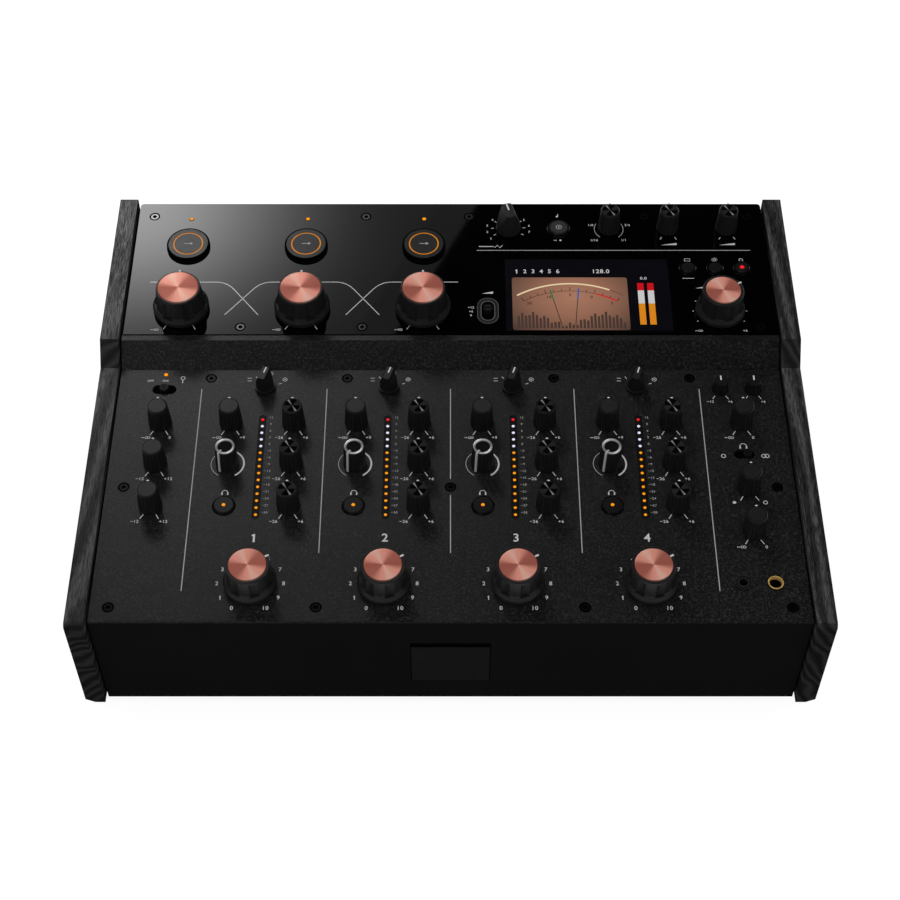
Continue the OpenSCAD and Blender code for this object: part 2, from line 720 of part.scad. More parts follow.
// Line jack: long body behind the wall, threaded collar through it
module line_jack() {
    difference() {
        union() {
            translate([0, 0, -jack_depth - 2]) box_at(14, 14, jack_depth + 1.7 - chassis_t);
            translate([0, 0, -chassis_t - 2]) cylinder(r = jack_collar_r, h = chassis_t + 4.5);
        }
        translate([0, 0, -jack_depth]) cylinder(r = jack_bore_r, h = jack_depth + 5);
    }
}

xlr_pins = [[-4.05, 0], [4.05, 0], [0, 4.05]];

// Mounting flange of an XLR socket, outside the wall
module xlr_flange() {
    linear_extrude(2) {
        square([26, 24], center = true);
        square([22, 30], center = true);
    }
}

module xlr_out() {
    difference() {
        union() {
            translate([0, 0, -chassis_t - socket_depth])
                cylinder(r = xlr_body_r, h = socket_depth + chassis_t + 0.5);
            xlr_flange();
        }
        translate([0, 0, -chassis_t - socket_depth + 3]) cylinder(r = xlr_shell_r, h = 30);
    }
    for (p = xlr_pins) translate([p[0], p[1], -chassis_t - socket_depth + 2.5])
        cylinder(r = 1.2, h = socket_depth - 1);
}

module xlr_in() {
    difference() {
        union() {
            translate([0, 0, -chassis_t - socket_depth])
                cylinder(r = xlr_body_r, h = socket_depth + chassis_t + 0.5);
            xlr_flange();
        }
        difference() {
            translate([0, 0, -chassis_t - socket_depth + 3]) cylinder(r = xlr_shell_r, h = 30);
            translate([0, 0, -chassis_t - socket_depth])
                cylinder(r = xlr_shell_r - 1.6, h = socket_depth + 3);
        }
        for (p = xlr_pins) translate([p[0], p[1], -chassis_t - socket_depth + 3]) cylinder(r = 1.3, h = 30);
    }
}

module usb_socket() {
    difference() {
        translate([0, 0, -chassis_t - socket_depth])
            box_at(usb_size[0], usb_size[1], socket_depth + chassis_t + 0.5);
        translate([0, 0, -chassis_t - socket_depth + 4]) box_at(8.5, 7.8, 30);
    }
    translate([0, 0, -chassis_t - socket_depth + 3]) box_at(5.6, 3.2, socket_depth - 4);
}

// Mains inlet: flanged body with a deep socket and three blades
module mains_inlet() {
    depth = 16;
    difference() {
        union() {
            translate([0, 0, -chassis_t - socket_depth - 6])
                box_at(inlet_size[0], inlet_size[1], socket_depth + chassis_t + 7);
            box_at(48, 24, 2);
        }
        translate([0, 0, 2 - depth]) linear_extrude(depth + CUT)
            polygon([[-12, 8.2], [12, 8.2], [12, -3.5], [7.5, -8.2], [-7.5, -8.2], [-12, -3.5]]);
        for (x = [-20, 20]) translate([x, 0, -CUT]) cylinder(r = 1.7, h = 4);
    }
    for (p = [[-7, 2], [7, 2], [0, -2]]) translate([p[0], p[1], 1.5 - depth]) box_at(2, 4, 14);
}

module ground_post() {
    translate([0, 0, -chassis_t - 2]) cylinder(r = 2, h = 12);
    translate([0, 0, 1]) cylinder(r = 5, h = 6, $fn = 12);
}

module sockets() {
    color("#4a4a4e") on_deck() {
        difference() {
            translate([-body_half + 22.8, socket_board_s - board_t, socket_row_3 - 18])
                cube([2 * body_half - 87.6, board_t, socket_row_1 - socket_row_3 + 30]);
            for (p = jack_places) translate([p[0], socket_board_s + CUT, p[1]]) rotate([90, 0, 0])
                cylinder(r = jack_collar_r, h = board_t + 2 * CUT);
        }
        for (x = phono_columns) for (n = [socket_row_1, socket_row_2]) on_rear(x, n) phono_socket();
        for (x = digital_columns) on_rear(x, socket_row_3) phono_socket();
        for (p = jack_places) on_rear(p[0], p[1]) line_jack();
        for (x = xlr_out_x) on_rear(x, xlr_n) xlr_out();
        on_rear(xlr_in_x, xlr_n) xlr_in();
        for (x = usb_x) on_rear(x, usb_n) usb_socket();
        on_rear(inlet_x, inlet_n) mains_inlet();
        on_rear(inlet_x, rocker_n) rocker_body();
        for (n = [socket_row_1, socket_row_2]) on_rear(ground_x, n) ground_post();
        on_lower(phones_jack_x, phones_jack_s) panel_jack(jack_bore_r, jack_depth);
        on_lower(mini_jack_x, phones_jack_s) panel_jack(mini_bore_r, 16);
    }
}

module rocker_body() {
    difference() {
        union() {
            translate([0, 0, -chassis_t - socket_depth])
                box_at(rocker_size[0], rocker_size[1], socket_depth + chassis_t + 1);
            box_at(rocker_size[0] + 2.4, rocker_size[1] + 2.4, 1.2);
        }
        translate([0, 0, -5.5]) box_at(rocker_size[0] - 2.4, rocker_size[1] - 2.4, 10);
    }
}

// ---- knobs --------------------------------------------------------------
// All knobs stand on z = 0 with their pointer towards +y
module shaft(stack) {
    translate([0, 0, board_top(stack) + shaft_lift])
        cylinder(r = shaft_r, h = knob_gap + 1 - board_top(stack) - shaft_lift);
}

// Grooves cut round a tapering body between two heights
module grooves(count, r, depth, foot, top) {
    lean = atan2(foot[0] - top[0], top[1] - foot[1]);
    for (i = [0:count - 1]) rotate([0, 0, 90 + i * 360 / count])
        translate([foot[0] + r - depth, 0, foot[1]]) rotate([0, -lean, 0])
            cylinder(r = r, h = (top[1] - foot[1]) / cos(lean), $fn = 24);
}

module small_body(top_recess_r, recess) {
    difference() {
        rotate_extrude() polygon([
            [0, knob_gap], [small_r, knob_gap], [small_top_r + 0.02, small_h - 0.4],
            [small_top_r - 0.35, small_h], [0, small_h]]);
        grooves(small_flutes, 0.55, small_flute_depth, [small_r, 0.5], [small_top_r, small_h - 2.2]);
        if (top_recess_r > 0) translate([0, 0, small_h - recess])
            cylinder(r = top_recess_r, h = recess + CUT);
    }
}

module small_knob(stack, recess_r) {
    small_body(recess_r, 0.15);
    shaft(stack);
}

// Filter knob: bright ring on the top edge and a bright pointer down the side
module filter_knob() {
    rotate([0, 0, filter_rest]) {
        small_body(filter_ring_r - 1.25, 1.2);
        pointer_w = 1.2;
        lean = atan2(small_r - small_top_r, small_h - knob_gap);
        translate([-pointer_w / 2, small_r - 0.9, 2]) rotate([lean, 0, 0])
            cube([pointer_w, 1.1, small_h - 2.6]);
        translate([-pointer_w / 2, filter_ring_r - 2.2, small_h - 1.2]) cube([pointer_w, 2.1, 1.35]);
    }
    shaft(lower_stack);
}

module large_knob(skirt_r, rim_r, cap_r, rest, stack) {
    foot_r = skirt_r - 1.9;
    // Scallops and the lands between them are equally wide
    half_chord = rim_r * sin(90 / scallops);
    scallop_r = (half_chord * half_chord + scallop_depth * scallop_depth) / (2 * scallop_depth);
    rotate([0, 0, rest]) {
        difference() {
            rotate_extrude() polygon([
                [0, knob_gap], [skirt_r - 0.3, knob_gap], [skirt_r, knob_gap + 0.3],
                [skirt_r, 3.3], [foot_r, 5.8], [rim_r, large_h - 0.8], [rim_r - 0.4, large_h - 0.4],
                [cap_r + 0.12, large_h - 0.4], [cap_r + 0.12, large_h - 0.9], [cap_r, large_h - 0.9],
                [cap_r, large_h - 0.2], [cap_r - 0.2, large_h], [0, large_h]]);
            grooves(scallops, scallop_r, scallop_depth, [foot_r, 5], [rim_r, large_h - 2]);
        }
        translate([-0.45, cap_r + 0.2, large_h - 0.5]) cube([0.9, rim_r - cap_r - 0.5, 0.18]);
    }
    shaft(stack);
}

// Pointer knob: a cone with both sides cut away to a flat-topped bar
module pointer_knob(foot_r, top_r, bar_w, z0, h, rest, stack) {
    rotate([0, 0, rest]) difference() {
        translate([0, 0, z0]) cylinder(r1 = foot_r, r2 = top_r, h = h - z0);
        for (side = [-1, 1]) rotate([90, 0, 0]) linear_extrude(3 * foot_r, center = true)
            polygon([
                [side * bar_w / 2, h + CUT], [side * bar_w / 2, h],
                [side * foot_r, z0 + 2.2], [side * (foot_r + 3), z0 + 2.2], [side * (foot_r + 3), h + CUT]]);
    }
    shaft(stack);
}

module input_selector() {
    pointer_knob(selector_r - 0.85, 4.3, 3.5, 1.9, selector_h, selector_rest, lower_stack);
    translate([0, 0, knob_gap]) cylinder(r = selector_r, h = 1.4);
}

module effect_selector_knob() {
    pointer_knob(effect_r, 5.5, 5.3, knob_gap, effect_h, effect_rest, upper_stack);
}

level_rest = -60;       // pointer angles at rest, counter-clockwise
filter_rest = 145;
selector_rest = -18;
effect_rest = 15;

// ---- buttons and levers -------------------------------------------------
module send_button() {
    flange_top = -upper_stack - 0.1;
    difference() {
        rotate_extrude() polygon([
            [0, flange_top - 1.2], [send_r + 1.15, flange_top - 1.2], [send_r + 1.15, flange_top],
            [send_r, flange_top], [send_r, send_h - 0.5], [send_r - 0.5, send_h], [0, send_h]]);
        translate([0, 0, send_h - 0.3]) difference() {
            cylinder(r = 8.45, h = 1);
            translate([0, 0, -CUT]) cylinder(r = 7.75, h = 2);
        }
    }
    translate([0, 0, board_top(upper_stack) + 0.3 + button_travel])
        cylinder(r = stem_r, h = flange_top - 1 - board_top(upper_stack) - 0.3 - button_travel);
}

// Fixed cap on the plunger of a small push switch
module button_cap(r, h, stack) {
    rotate_extrude() polygon([
        [0, -stack - 0.6], [r, -stack - 0.6], [r, h - 0.5], [r - 0.5, h], [0, h]]);
    translate([0, 0, board_top(stack) + 0.6]) cylinder(r = stem_r, h = -stack - 0.4 - board_top(stack) - 0.6);
}

module lever(stack, r, h) {
    difference() {
        union() {
            translate([0, 0, -stack - 0.2]) cylinder(r = r, h = stack + 0.2 + h);
            translate([0, 0, board_top(stack) + shaft_lift])
                box_at(lever_foot[0], lever_foot[1], -board_top(stack) - shaft_lift - stack);
        }
        translate([-r, -0.35, h - 0.4]) cube([2 * r, 0.7, 1]);
    }
}

module boost_bezel() {
    difference() {
        union() {
            translate([0, 0, -upper_stack - 0.1])
                slot(boost_ring[0] - 2.3, boost_ring[1] - 2.3, upper_stack + 0.1);
            slot(boost_ring[0], boost_ring[1], 0.6);
        }
        translate([0, 0, -upper_stack - CUT]) slot(boost_well[0], boost_well[1], upper_stack + 3);
    }
}

module booth_eq_knob() {
    difference() {
        rotate_extrude() polygon([[0, knob_gap], [4.65, knob_gap], [3.6, 7.1], [3.3, 7.5], [0, 7.5]]);
        grooves(12, 0.5, 0.3, [4.65, 0.5], [3.6, 6.2]);
    }
    shaft(lower_stack);
}

module small_controls() {
    color("#141416") on_deck() {
        for (p = cue_places) on_lower(p[0], p[1]) button_cap(cue_r, 1.2, lower_stack);
        on_upper(tap_x, top_row_s) button_cap(tap_r, 1.6, upper_stack);
        for (x = function_x) on_upper(x, function_s) button_cap(function_r, 1.2, upper_stack);
        on_upper(boost_x, boost_s) boost_bezel();
        for (x = booth_eq_x) on_lower(x, booth_eq_s) booth_eq_knob();
        on_rear(inlet_x, rocker_n) translate([0, 0, -3.8]) rotate([6, 0, 0])
            box_at(rocker_size[0] - 3, rocker_size[1] - 4, 5.4);
    }
}

// ---- one line per piece -------------------------------------------------
black = "#18181a";
module low(x, s) { color(black) on_deck() on_lower(x, s) children(); }
module high(x, s) { color(black) on_deck() on_upper(x, s) children(); }
module band_knob(x) { high(x, band_s) large_knob(band_skirt_r, band_rim_r, band_cap_r, 0, upper_stack); }
module send(x) { high(x, send_s) send_button(); }
module top_knob(x) { high(x, top_row_s) small_knob(upper_stack, small_top_r - 0.95); }
module effect_selector(x) { high(x, top_row_s) effect_selector_knob(); }
module master_knob(x) {
    high(x, master_s) large_knob(master_skirt_r, level_rim_r + 0.05, level_cap_r, level_rest, upper_stack);
}
module boost_switch(x) { high(x, boost_s) lever(upper_stack, 2.5, 3.4); }
module talkover_switch(x) { low(x, talk_s) rotate([0, 0, -90]) lever(lower_stack, 2.4, 2.2); }
module mono_switch(x) { low(x + 1.7, mono_s) rotate([0, 0, -90]) lever(lower_stack, 2.4, 1.2); }
module plain_knob(x, s) { low(x, s) small_knob(lower_stack, 0); }
module eq_knob(i, s) { low(ch_x(i) + col, s) small_knob(lower_stack, small_top_r - 0.95); }
module trim_knob(i) { plain_knob(ch_x(i) - col, row_first); }
module filter(i) { low(ch_x(i) - col, row_2) filter_knob(); }
module selector(i) { low(ch_x(i), selector_s) input_selector(); }
module level_knob(i) {
    low(ch_x(i), level_s) large_knob(level_skirt_r, level_rim_r, level_cap_r, level_rest, lower_stack);
}

chassis_tray();
control_deck();
glossy_panel();
side_panel(-1);  // side_panel_left
side_panel(1);  // side_panel_right
display_module();
indicator_lights();
circuit_boards();
sockets();
screws();
feet();
small_controls();
band_knob(band_x[0]);  // isolator_knob_low
band_knob(band_x[1]);  // isolator_knob_mid
band_knob(band_x[2]);  // isolator_knob_high
send(band_x[0]);  // send_button_low
send(band_x[1]);  // send_button_mid
send(band_x[2]);  // send_button_high
effect_selector(effect_x);
top_knob(beat_x);  // beat_knob
top_knob(parameter_x);  // parameter_knob
top_knob(return_x);  // return_knob
boost_switch(boost_x);
master_knob(master_x);
talkover_switch(-outer_col);
plain_knob(-outer_col, row_first);  // mic_level_knob
plain_knob(-outer_col, row_2);  // mic_high_knob
plain_knob(-outer_col, row_3);  // mic_low_knob
selector(1);  // input_selector_1
selector(2);  // input_selector_2
selector(3);  // input_selector_3
selector(4);  // input_selector_4
trim_knob(1);  // trim_knob_1
trim_knob(2);  // trim_knob_2
trim_knob(3);  // trim_knob_3
trim_knob(4);  // trim_knob_4
filter(1);  // filter_knob_1
filter(2);  // filter_knob_2
filter(3);  // filter_knob_3
filter(4);  // filter_knob_4
eq_knob(1, row_first);  // high_knob_1
eq_knob(2, row_first);  // high_knob_2
eq_knob(3, row_first);  // high_knob_3
eq_knob(4, row_first);  // high_knob_4
eq_knob(1, row_2);  // mid_knob_1
eq_knob(2, row_2);  // mid_knob_2
eq_knob(3, row_2);  // mid_knob_3
eq_knob(4, row_2);  // mid_knob_4
eq_knob(1, row_3);  // low_knob_1
eq_knob(2, row_3);  // low_knob_2
eq_knob(3, row_3);  // low_knob_3
eq_knob(4, row_3);  // low_knob_4
level_knob(1);  // level_knob_1
level_knob(2);  // level_knob_2
level_knob(3);  // level_knob_3
level_knob(4);  // level_knob_4
plain_knob(outer_col, row_first);  // booth_knob
mono_switch(outer_col);
plain_knob(outer_col, phones_mix_s);  // phones_mix_knob
plain_knob(outer_col, phones_level_s);  // phones_level_knob
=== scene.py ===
"""Dressed model of a four-channel rotary mixer: finishes, metal caps, printed marks, screen and studio."""

import logging
import math
from collections.abc import Iterable, Sequence
from dataclasses import dataclass

import bmesh
import bpy
from bmesh.types import BMesh, BMVert
from bpy.types import ID, Material, Mesh, NodeOutputs, NodeTree, Object
from bpy.types import NodeSocket as Socket
from mathutils import Matrix, Vector


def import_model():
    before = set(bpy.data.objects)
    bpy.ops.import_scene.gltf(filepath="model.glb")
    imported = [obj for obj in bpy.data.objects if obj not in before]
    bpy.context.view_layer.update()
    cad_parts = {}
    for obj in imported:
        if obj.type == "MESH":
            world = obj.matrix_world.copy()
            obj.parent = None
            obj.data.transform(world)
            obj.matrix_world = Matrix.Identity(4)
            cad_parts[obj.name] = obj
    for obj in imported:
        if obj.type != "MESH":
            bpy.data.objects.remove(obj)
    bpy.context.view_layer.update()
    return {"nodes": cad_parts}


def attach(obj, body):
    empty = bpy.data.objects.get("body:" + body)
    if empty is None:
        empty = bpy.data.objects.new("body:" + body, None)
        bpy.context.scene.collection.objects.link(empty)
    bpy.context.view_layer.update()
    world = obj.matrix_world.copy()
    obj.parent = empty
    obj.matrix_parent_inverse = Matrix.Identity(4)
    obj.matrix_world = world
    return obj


LOG = logging.getLogger("mixer")

Spot = tuple[float, float]
Stops = Sequence[tuple[float, str]]

# ---- layout in deck millimetres: x across, s up the slope, n square to it ---
MM = 0.001
TILT = math.radians(5.0)
TO_FRAME = Matrix.Translation((0.0, -0.147344, 0.082715)) @ Matrix.Rotation(TILT, 4, "X") @ Matrix.Scale(MM, 4)
DECK_N = -2.5  # top of the lower deck
GLOSS_N = 8.8  # top of the glossy panel
FILM = 0.02  # printed marks stand this far proud
PITCH = 66.7  # between channel centre lines
COLUMN = PITCH / 4  # from a channel's centre line to its knob columns
CHANNELS = {number: (number - 2.5) * PITCH for number in range(1, 5)}
ROWS = (128.1, 101.05, 74.0)
LEVEL_S = 26.5
SELECTOR_S = 152.5
METER_S, METER_STEP = 99.5, 4.42
OUTER_X = 154.4  # microphone column on the left, monitor column on the right
PHONES_ROWS = (85.5, 58.3)
TONE_X, TONE_S = (145.3, 163.0), 151.2
SMALL_JACK, LARGE_JACK = (146.3, 26.8), (162.45, 26.8)
BANDS = {"low": -148.1, "mid": -81.55, "high": -15.05}
BAND_S = 199.4
SEND_S = 245.8
TOP_ROW_S = 259.5
EFFECT, TAP, BEAT = (33.0, TOP_ROW_S), (61.7, TOP_ROW_S), (90.2, TOP_ROW_S)
PARAMETER, RETURN = (123.6, TOP_ROW_S), (157.0, TOP_ROW_S)
MASTER = (148.2, 197.4)
BOOST = (20.6, 197.1)
FUNCTION_X, FUNCTION_S = (133.1, 148.4, 163.3), 229.1


def turned(radius: float, degrees: float, centre: Spot = (0.0, 0.0)) -> Spot:
    """Point on a circle, degrees clockwise from the rear."""
    angle = math.radians(degrees)
    return centre[0] + radius * math.sin(angle), centre[1] + radius * math.cos(angle)


def linear(code: str) -> tuple[float, ...]:
    """Turns #rrggbb into linear red, green, blue and an alpha of 1."""
    values = [int(code[i : i + 2], 16) / 255 for i in (1, 3, 5)]
    return (*(v / 12.92 if v <= 0.04045 else ((v + 0.055) / 1.055) ** 2.4 for v in values), 1.0)


def tinted(code: str, factor: float) -> tuple[float, ...]:
    """A hex colour made paler or darker, as linear values."""
    return (*(min(1.0, part * factor) for part in linear(code)[:3]), 1.0)


# ---- node trees -------------------------------------------------------------
@dataclass(frozen=True)
class Varied:
    """An input's plain value, and the link that varies it over the surface."""

    plain: float
    link: Socket


class Net:
    """Short ways to add linked nodes to a tree."""

    def __init__(self, tree: NodeTree) -> None:
        """Takes the tree that gets the nodes."""
        self.tree = tree

    @classmethod
    def inside(cls, owner: ID) -> "Net":
        """Empties the tree of a material, world or lamp."""
        owner.use_nodes = True
        owner.node_tree.nodes.clear()
        return cls(owner.node_tree)

    def outputs(self, kind: str, values: dict | None = None, **settings: object) -> NodeOutputs:
        """Adds a node with its settings, then its values: numbers, hex colours or sockets to link."""
        node = self.tree.nodes.new(kind)
        for name, setting in settings.items():
            setattr(node, name, setting)
        for key, value in (values or {}).items():
            if isinstance(value, Varied):
                node.inputs[key].default_value = value.plain
                value = value.link
            if isinstance(value, Socket):
                self.tree.links.new(value, node.inputs[key])
            else:
                node.inputs[key].default_value = linear(value) if isinstance(value, str) else value
        return node.outputs

    def put(self, kind: str, values: dict | None = None, out: int | str = 0, **settings: object) -> Socket:
        """Adds a node and returns one of its outputs."""
        return self.outputs(kind, values, **settings)[out]

    def math(self, operation: str, *values: object) -> Socket:
        """Works on numbers."""
        return self.put("ShaderNodeMath", dict(enumerate(values)), operation=operation)

    def vector(self, operation: str, *values: object, out: str = "Vector") -> Socket:
        """Works on vectors."""
        return self.put("ShaderNodeVectorMath", dict(enumerate(values)), out, operation=operation)

    def remap(self, value: Socket, low: float, high: float, start: float = 0.0, end: float = 1.0) -> Socket:
        """Maps start to end onto low to high."""
        return self.put("ShaderNodeMapRange", {"Value": value, "From Min": start, "From Max": end,
                                               "To Min": low, "To Max": high}, "Result")

    def mix(self, share: object, first: object, second: object, blend: str = "MIX") -> Socket:
        """Blends two colours."""
        return self.put("ShaderNodeMixRGB", {"Fac": share, "Color1": first, "Color2": second}, blend_type=blend)

    def ramp(self, share: Socket, stops: Stops, easing: str = "LINEAR") -> Socket:
        """Adds a colour ramp through stops, each a place from 0 to 1 and a hex colour."""
        colour = self.put("ShaderNodeValToRGB", {"Fac": share})
        made = colour.node.color_ramp
        made.interpolation = easing
        while len(made.elements) < len(stops):
            made.elements.new(0.5)
        for element, (place, code) in zip(made.elements, stops):
            element.position = place
            element.color = linear(code)
        return colour

    def noise(self, place: Socket, grain_mm: float, detail: float = 3.0, rough: float = 0.6) -> Socket:
        """Adds noise whose features are about grain_mm across."""
        return self.put("ShaderNodeTexNoise", {"Vector": place, "Scale": 1.0 / (grain_mm * MM), "Detail": detail,
                                               "Roughness": rough}, "Fac")

    def bump(self, height: Socket, depth_mm: float, strength: float) -> Socket:
        """Adds relief of depth_mm."""
        return self.put("ShaderNodeBump", {"Height": height, "Distance": depth_mm * MM, "Strength": strength})

    def facing(self, axis: str) -> Socket:
        """How far the surface looks along an axis, from -1 to 1."""
        normal = self.put("ShaderNodeNewGeometry", out="True Normal")
        return self.put("ShaderNodeSeparateXYZ", {"Vector": normal}, axis)

    def by_facing(self, across: object, along: object, axis: str) -> Socket:
        """Mixes two colours: the second on faces that look along an axis, the first on those beside it."""
        return self.mix(self.remap(self.math("ABSOLUTE", self.facing(axis)), 0.0, 1.0, 0.3, 0.6), across, along)

    def sheen(self, upright: float, level: float) -> Varied:
        """Gloss of upright faces, which are rubbed less, and of faces that lie level."""
        return Varied(level, self.remap(self.facing("Z"), upright, level, 0.4, 0.9))


# ---- finishes ---------------------------------------------------------------
Look = dict[str, object]


@dataclass(frozen=True)
class Finish:
    """A real surface finish, drawn by shader nodes on Object coordinates in metres."""

    name: str

    def dress(self) -> Material:
        """Returns the finish's material, made at its first use."""
        made = bpy.data.materials.get(self.name)
        if made is None:
            made = bpy.data.materials.new(self.name)
            net = Net.inside(made)
            look = self.look(net, net.put("ShaderNodeTexCoord", out="Object"))
            net.outputs("ShaderNodeOutputMaterial", {"Surface": net.put("ShaderNodeBsdfPrincipled", look)})
        return made

    def look(self, net: Net, place: Socket) -> Look:
        """Returns what the surface shader's inputs take."""
        raise NotImplementedError


@dataclass(frozen=True)
class PowderCoat(Finish):
    """Fine-textured powder coat on steel: a dark field with paler specks and an orange-peel relief."""

    field_hex: str
    speck_hex: str
    grain_mm: float = 1.1  # real specks are finer; this is as fine as shows
    relief_mm: float = 0.05
    roughness: float = 0.42
    gloss: float = 0.8
    upright_gloss: float = 0.0  # the folded-down walls stay matt
    wall_hex: str = "#1b1b1c"  # and even

    def look(self, net: Net, place: Socket) -> Look:
        """Mixes specks into the field and raises the texture."""
        specks = net.noise(place, self.grain_mm, 2.0, 0.7)
        picked = net.ramp(specks, [(0.48, self.field_hex), (0.68, self.speck_hex)])
        picked = net.by_facing(self.wall_hex, picked, "Z")
        return {"Base Color": net.mix(0.12, picked, net.noise(place, 42.0, 2.0), "OVERLAY"),
                "Roughness": self.roughness,
                "Specular IOR Level": net.sheen(self.upright_gloss, self.gloss),
                "Normal": net.bump(specks, self.relief_mm, 0.6)}


@dataclass(frozen=True)
class CastAcrylic(Finish):
    """Black cast acrylic: mirror gloss with faint long waves in the sheet."""

    def look(self, net: Net, place: Socket) -> Look:
        """Keeps the colour nearly black and lets the surface mirror."""
        haze = net.noise(place, 60.0, 1.0)
        return {"Base Color": net.ramp(haze, [(0.3, "#020203"), (0.7, "#040405")]), "Roughness": 0.035, "IOR": 1.49,
                "Normal": net.bump(haze, 0.02, 0.15)}


@dataclass(frozen=True)
class StainedAsh(Finish):
    """Planed ash with a black stain: long grain along the panel, arched rings on the ends, open pores."""

    ring_mm: float = 1.7
    pore_mm: float = 0.55

    def look(self, net: Net, place: Socket) -> Look:
        """Draws growth rings round a far heart and long pores along the grain."""
        heart = net.put("ShaderNodeMapping", {"Vector": place, "Location": (0.09, 0.0, 0.11),
                                              "Rotation": (0.02, 0.03, 0.0), "Scale": (1.0, 0.02, 1.0)})
        sway = net.put("ShaderNodeTexNoise", {"Vector": heart, "Scale": 60.0, "Detail": 1.0}, "Color")
        bent = net.vector("ADD", heart, net.vector("MULTIPLY", sway, (0.014, 0.0, 0.014)))
        rings = net.put("ShaderNodeTexWave", {"Vector": bent, "Scale": 85.0 / self.ring_mm}, "Fac",
                        wave_type="RINGS", rings_direction="Y")
        along = net.put("ShaderNodeMapping", {"Vector": place, "Scale": (1.0, 0.012, 1.0)})
        pores = net.noise(along, self.pore_mm, 2.0)
        grain = net.mix(0.8, rings, pores)
        tone = net.ramp(grain, [(0.3, "#131314"), (0.5, "#333334"), (0.7, "#5c5c5e")])
        # Faces that look along the panel get a darker, flatter ramp: painted shade, as the front ends get less light,
        # and end grain also takes more stain.
        ends = net.ramp(net.mix(0.65, rings, pores), [(0.25, "#171718"), (0.5, "#29292a"), (0.75, "#3c3c3e")])
        return {"Base Color": net.by_facing(tone, ends, "Y"),
                "Roughness": net.ramp(pores, [(0.3, "#b0b0b0"), (0.7, "#7a7a7a")]),
                "Specular IOR Level": net.sheen(0.0, 0.3),
                "Normal": net.bump(grain, 0.1, 0.5)}


@dataclass(frozen=True)
class MouldedPlastic(Finish):
    """Moulded ABS or rubberised nylon with a spark-eroded texture."""

    colour: str
    roughness: float = 0.42
    gloss: float = 0.45
    texture_mm: float = 0.35
    upright_gloss: float = 0.4

    def look(self, net: Net, place: Socket) -> Look:
        """Gives the moulding a fine tooth and a slight change of gloss."""
        wear = net.noise(place, 9.0, 2.0)
        return {"Base Color": net.mix(wear, self.colour, tinted(self.colour, 1.35)),
                "Roughness": net.remap(wear, self.roughness - 0.05, self.roughness + 0.06),
                "Specular IOR Level": net.sheen(self.upright_gloss, self.gloss),
                "Normal": net.bump(net.noise(place, self.texture_mm), 0.02, 0.35)}


@dataclass(frozen=True)
class SpunMetal(Finish):
    """Face-turned metal: fine rings stretch each light through the anisotropic shine, and bright and dark fan-shaped
    lobes of reflected light, alike every half turn, are painted into its colour.
    """

    painted_fans: Stops  # share of a half turn clockwise from the rear, and the painted reflection's shade there
    roughness: float = 0.3
    metal: float = 0.25
    cuts: float = 0.12  # how far the tool marks show
    gloss: float = 0.1

    def look(self, net: Net, place: Socket) -> Look:
        """Reads the piece's own UV map: u goes round the cap and v goes out from its centre."""
        chart = net.outputs("ShaderNodeSeparateXYZ", {"Vector": net.put("ShaderNodeUVMap", uv_map="Turned")})
        # Painted highlight and shade lobes, set by the angle round the cap.
        shade = net.ramp(net.math("FRACT", net.math("MULTIPLY", chart["X"], -2.0)), self.painted_fans, "EASE")
        cuts = net.put("ShaderNodeTexNoise", {"W": chart["Y"], "Scale": 90.0, "Detail": 3.0}, "Fac",
                       noise_dimensions="1D")
        return {"Base Color": net.mix(self.cuts, shade, cuts, "OVERLAY"),
                "Tangent": net.put("ShaderNodeTangent", direction_type="UV_MAP", uv_map="Turned"),
                "Metallic": self.metal, "Roughness": self.roughness, "Anisotropic": 0.75,
                "Specular IOR Level": self.gloss, "Normal": net.bump(cuts, 0.01, 0.4)}


@dataclass(frozen=True)
class PlatedMetal(Finish):
    """Plated or blackened metal with faint handling marks."""

    colour: str
    roughness: float = 0.25
    metal: float = 1.0

    def look(self, net: Net, place: Socket) -> Look:
        """Varies tone and polish slightly over the plating."""
        marks = net.noise(place, 3.0, 4.0)
        return {"Base Color": net.mix(marks, tinted(self.colour, 0.75), self.colour), "Metallic": self.metal,
                "Roughness": net.remap(marks, self.roughness - 0.06, self.roughness + 0.1)}


@dataclass(frozen=True)
class PrintedInk(Finish):
    """Screen-printed ink: matt, with a slightly uneven film."""

    colour: str
    roughness: float = 0.6
    gloss: float = 0.2

    def look(self, net: Net, place: Socket) -> Look:
        """Thins the film here and there."""
        return {"Base Color": net.mix(net.noise(place, 0.8), tinted(self.colour, 0.85), self.colour),
                "Roughness": self.roughness, "Specular IOR Level": self.gloss}


@dataclass(frozen=True)
class LitLens(Finish):
    """Clear lens over a lamp that is on."""

    colour: str
    power: float = 1.0

    def look(self, net: Net, place: Socket) -> Look:
        """Glows through a lens with a faint grain."""
        return {"Emission Color": net.mix(net.noise(place, 0.5), self.colour, tinted(self.colour, 1.1)),
                "Emission Strength": self.power, "Base Color": tinted(self.colour, 0.06),
                "Specular IOR Level": 0.15, "Roughness": 0.3}


@dataclass(frozen=True)
class LitField(Finish):
    """Lit field of a display that fades from its middle to its corners."""

    middle: Spot  # deck millimetres
    reach: Spot
    stops: Stops
    power: float = 0.6

    def look(self, net: Net, place: Socket) -> Look:
        """Measures the way from the middle, stretched to the field's own shape."""
        away = net.vector("SUBTRACT", place, tuple(TO_FRAME @ Vector((*self.middle, GLOSS_N))))
        scaled = net.vector("MULTIPLY", away, (*(1.0 / (part * MM) for part in self.reach), 0.0))
        return {"Emission Color": net.ramp(net.vector("LENGTH", scaled, out="Value"), self.stops),
                "Emission Strength": self.power, "Base Color": (0.003, 0.002, 0.002, 1.0),
                "Specular IOR Level": 0.15}


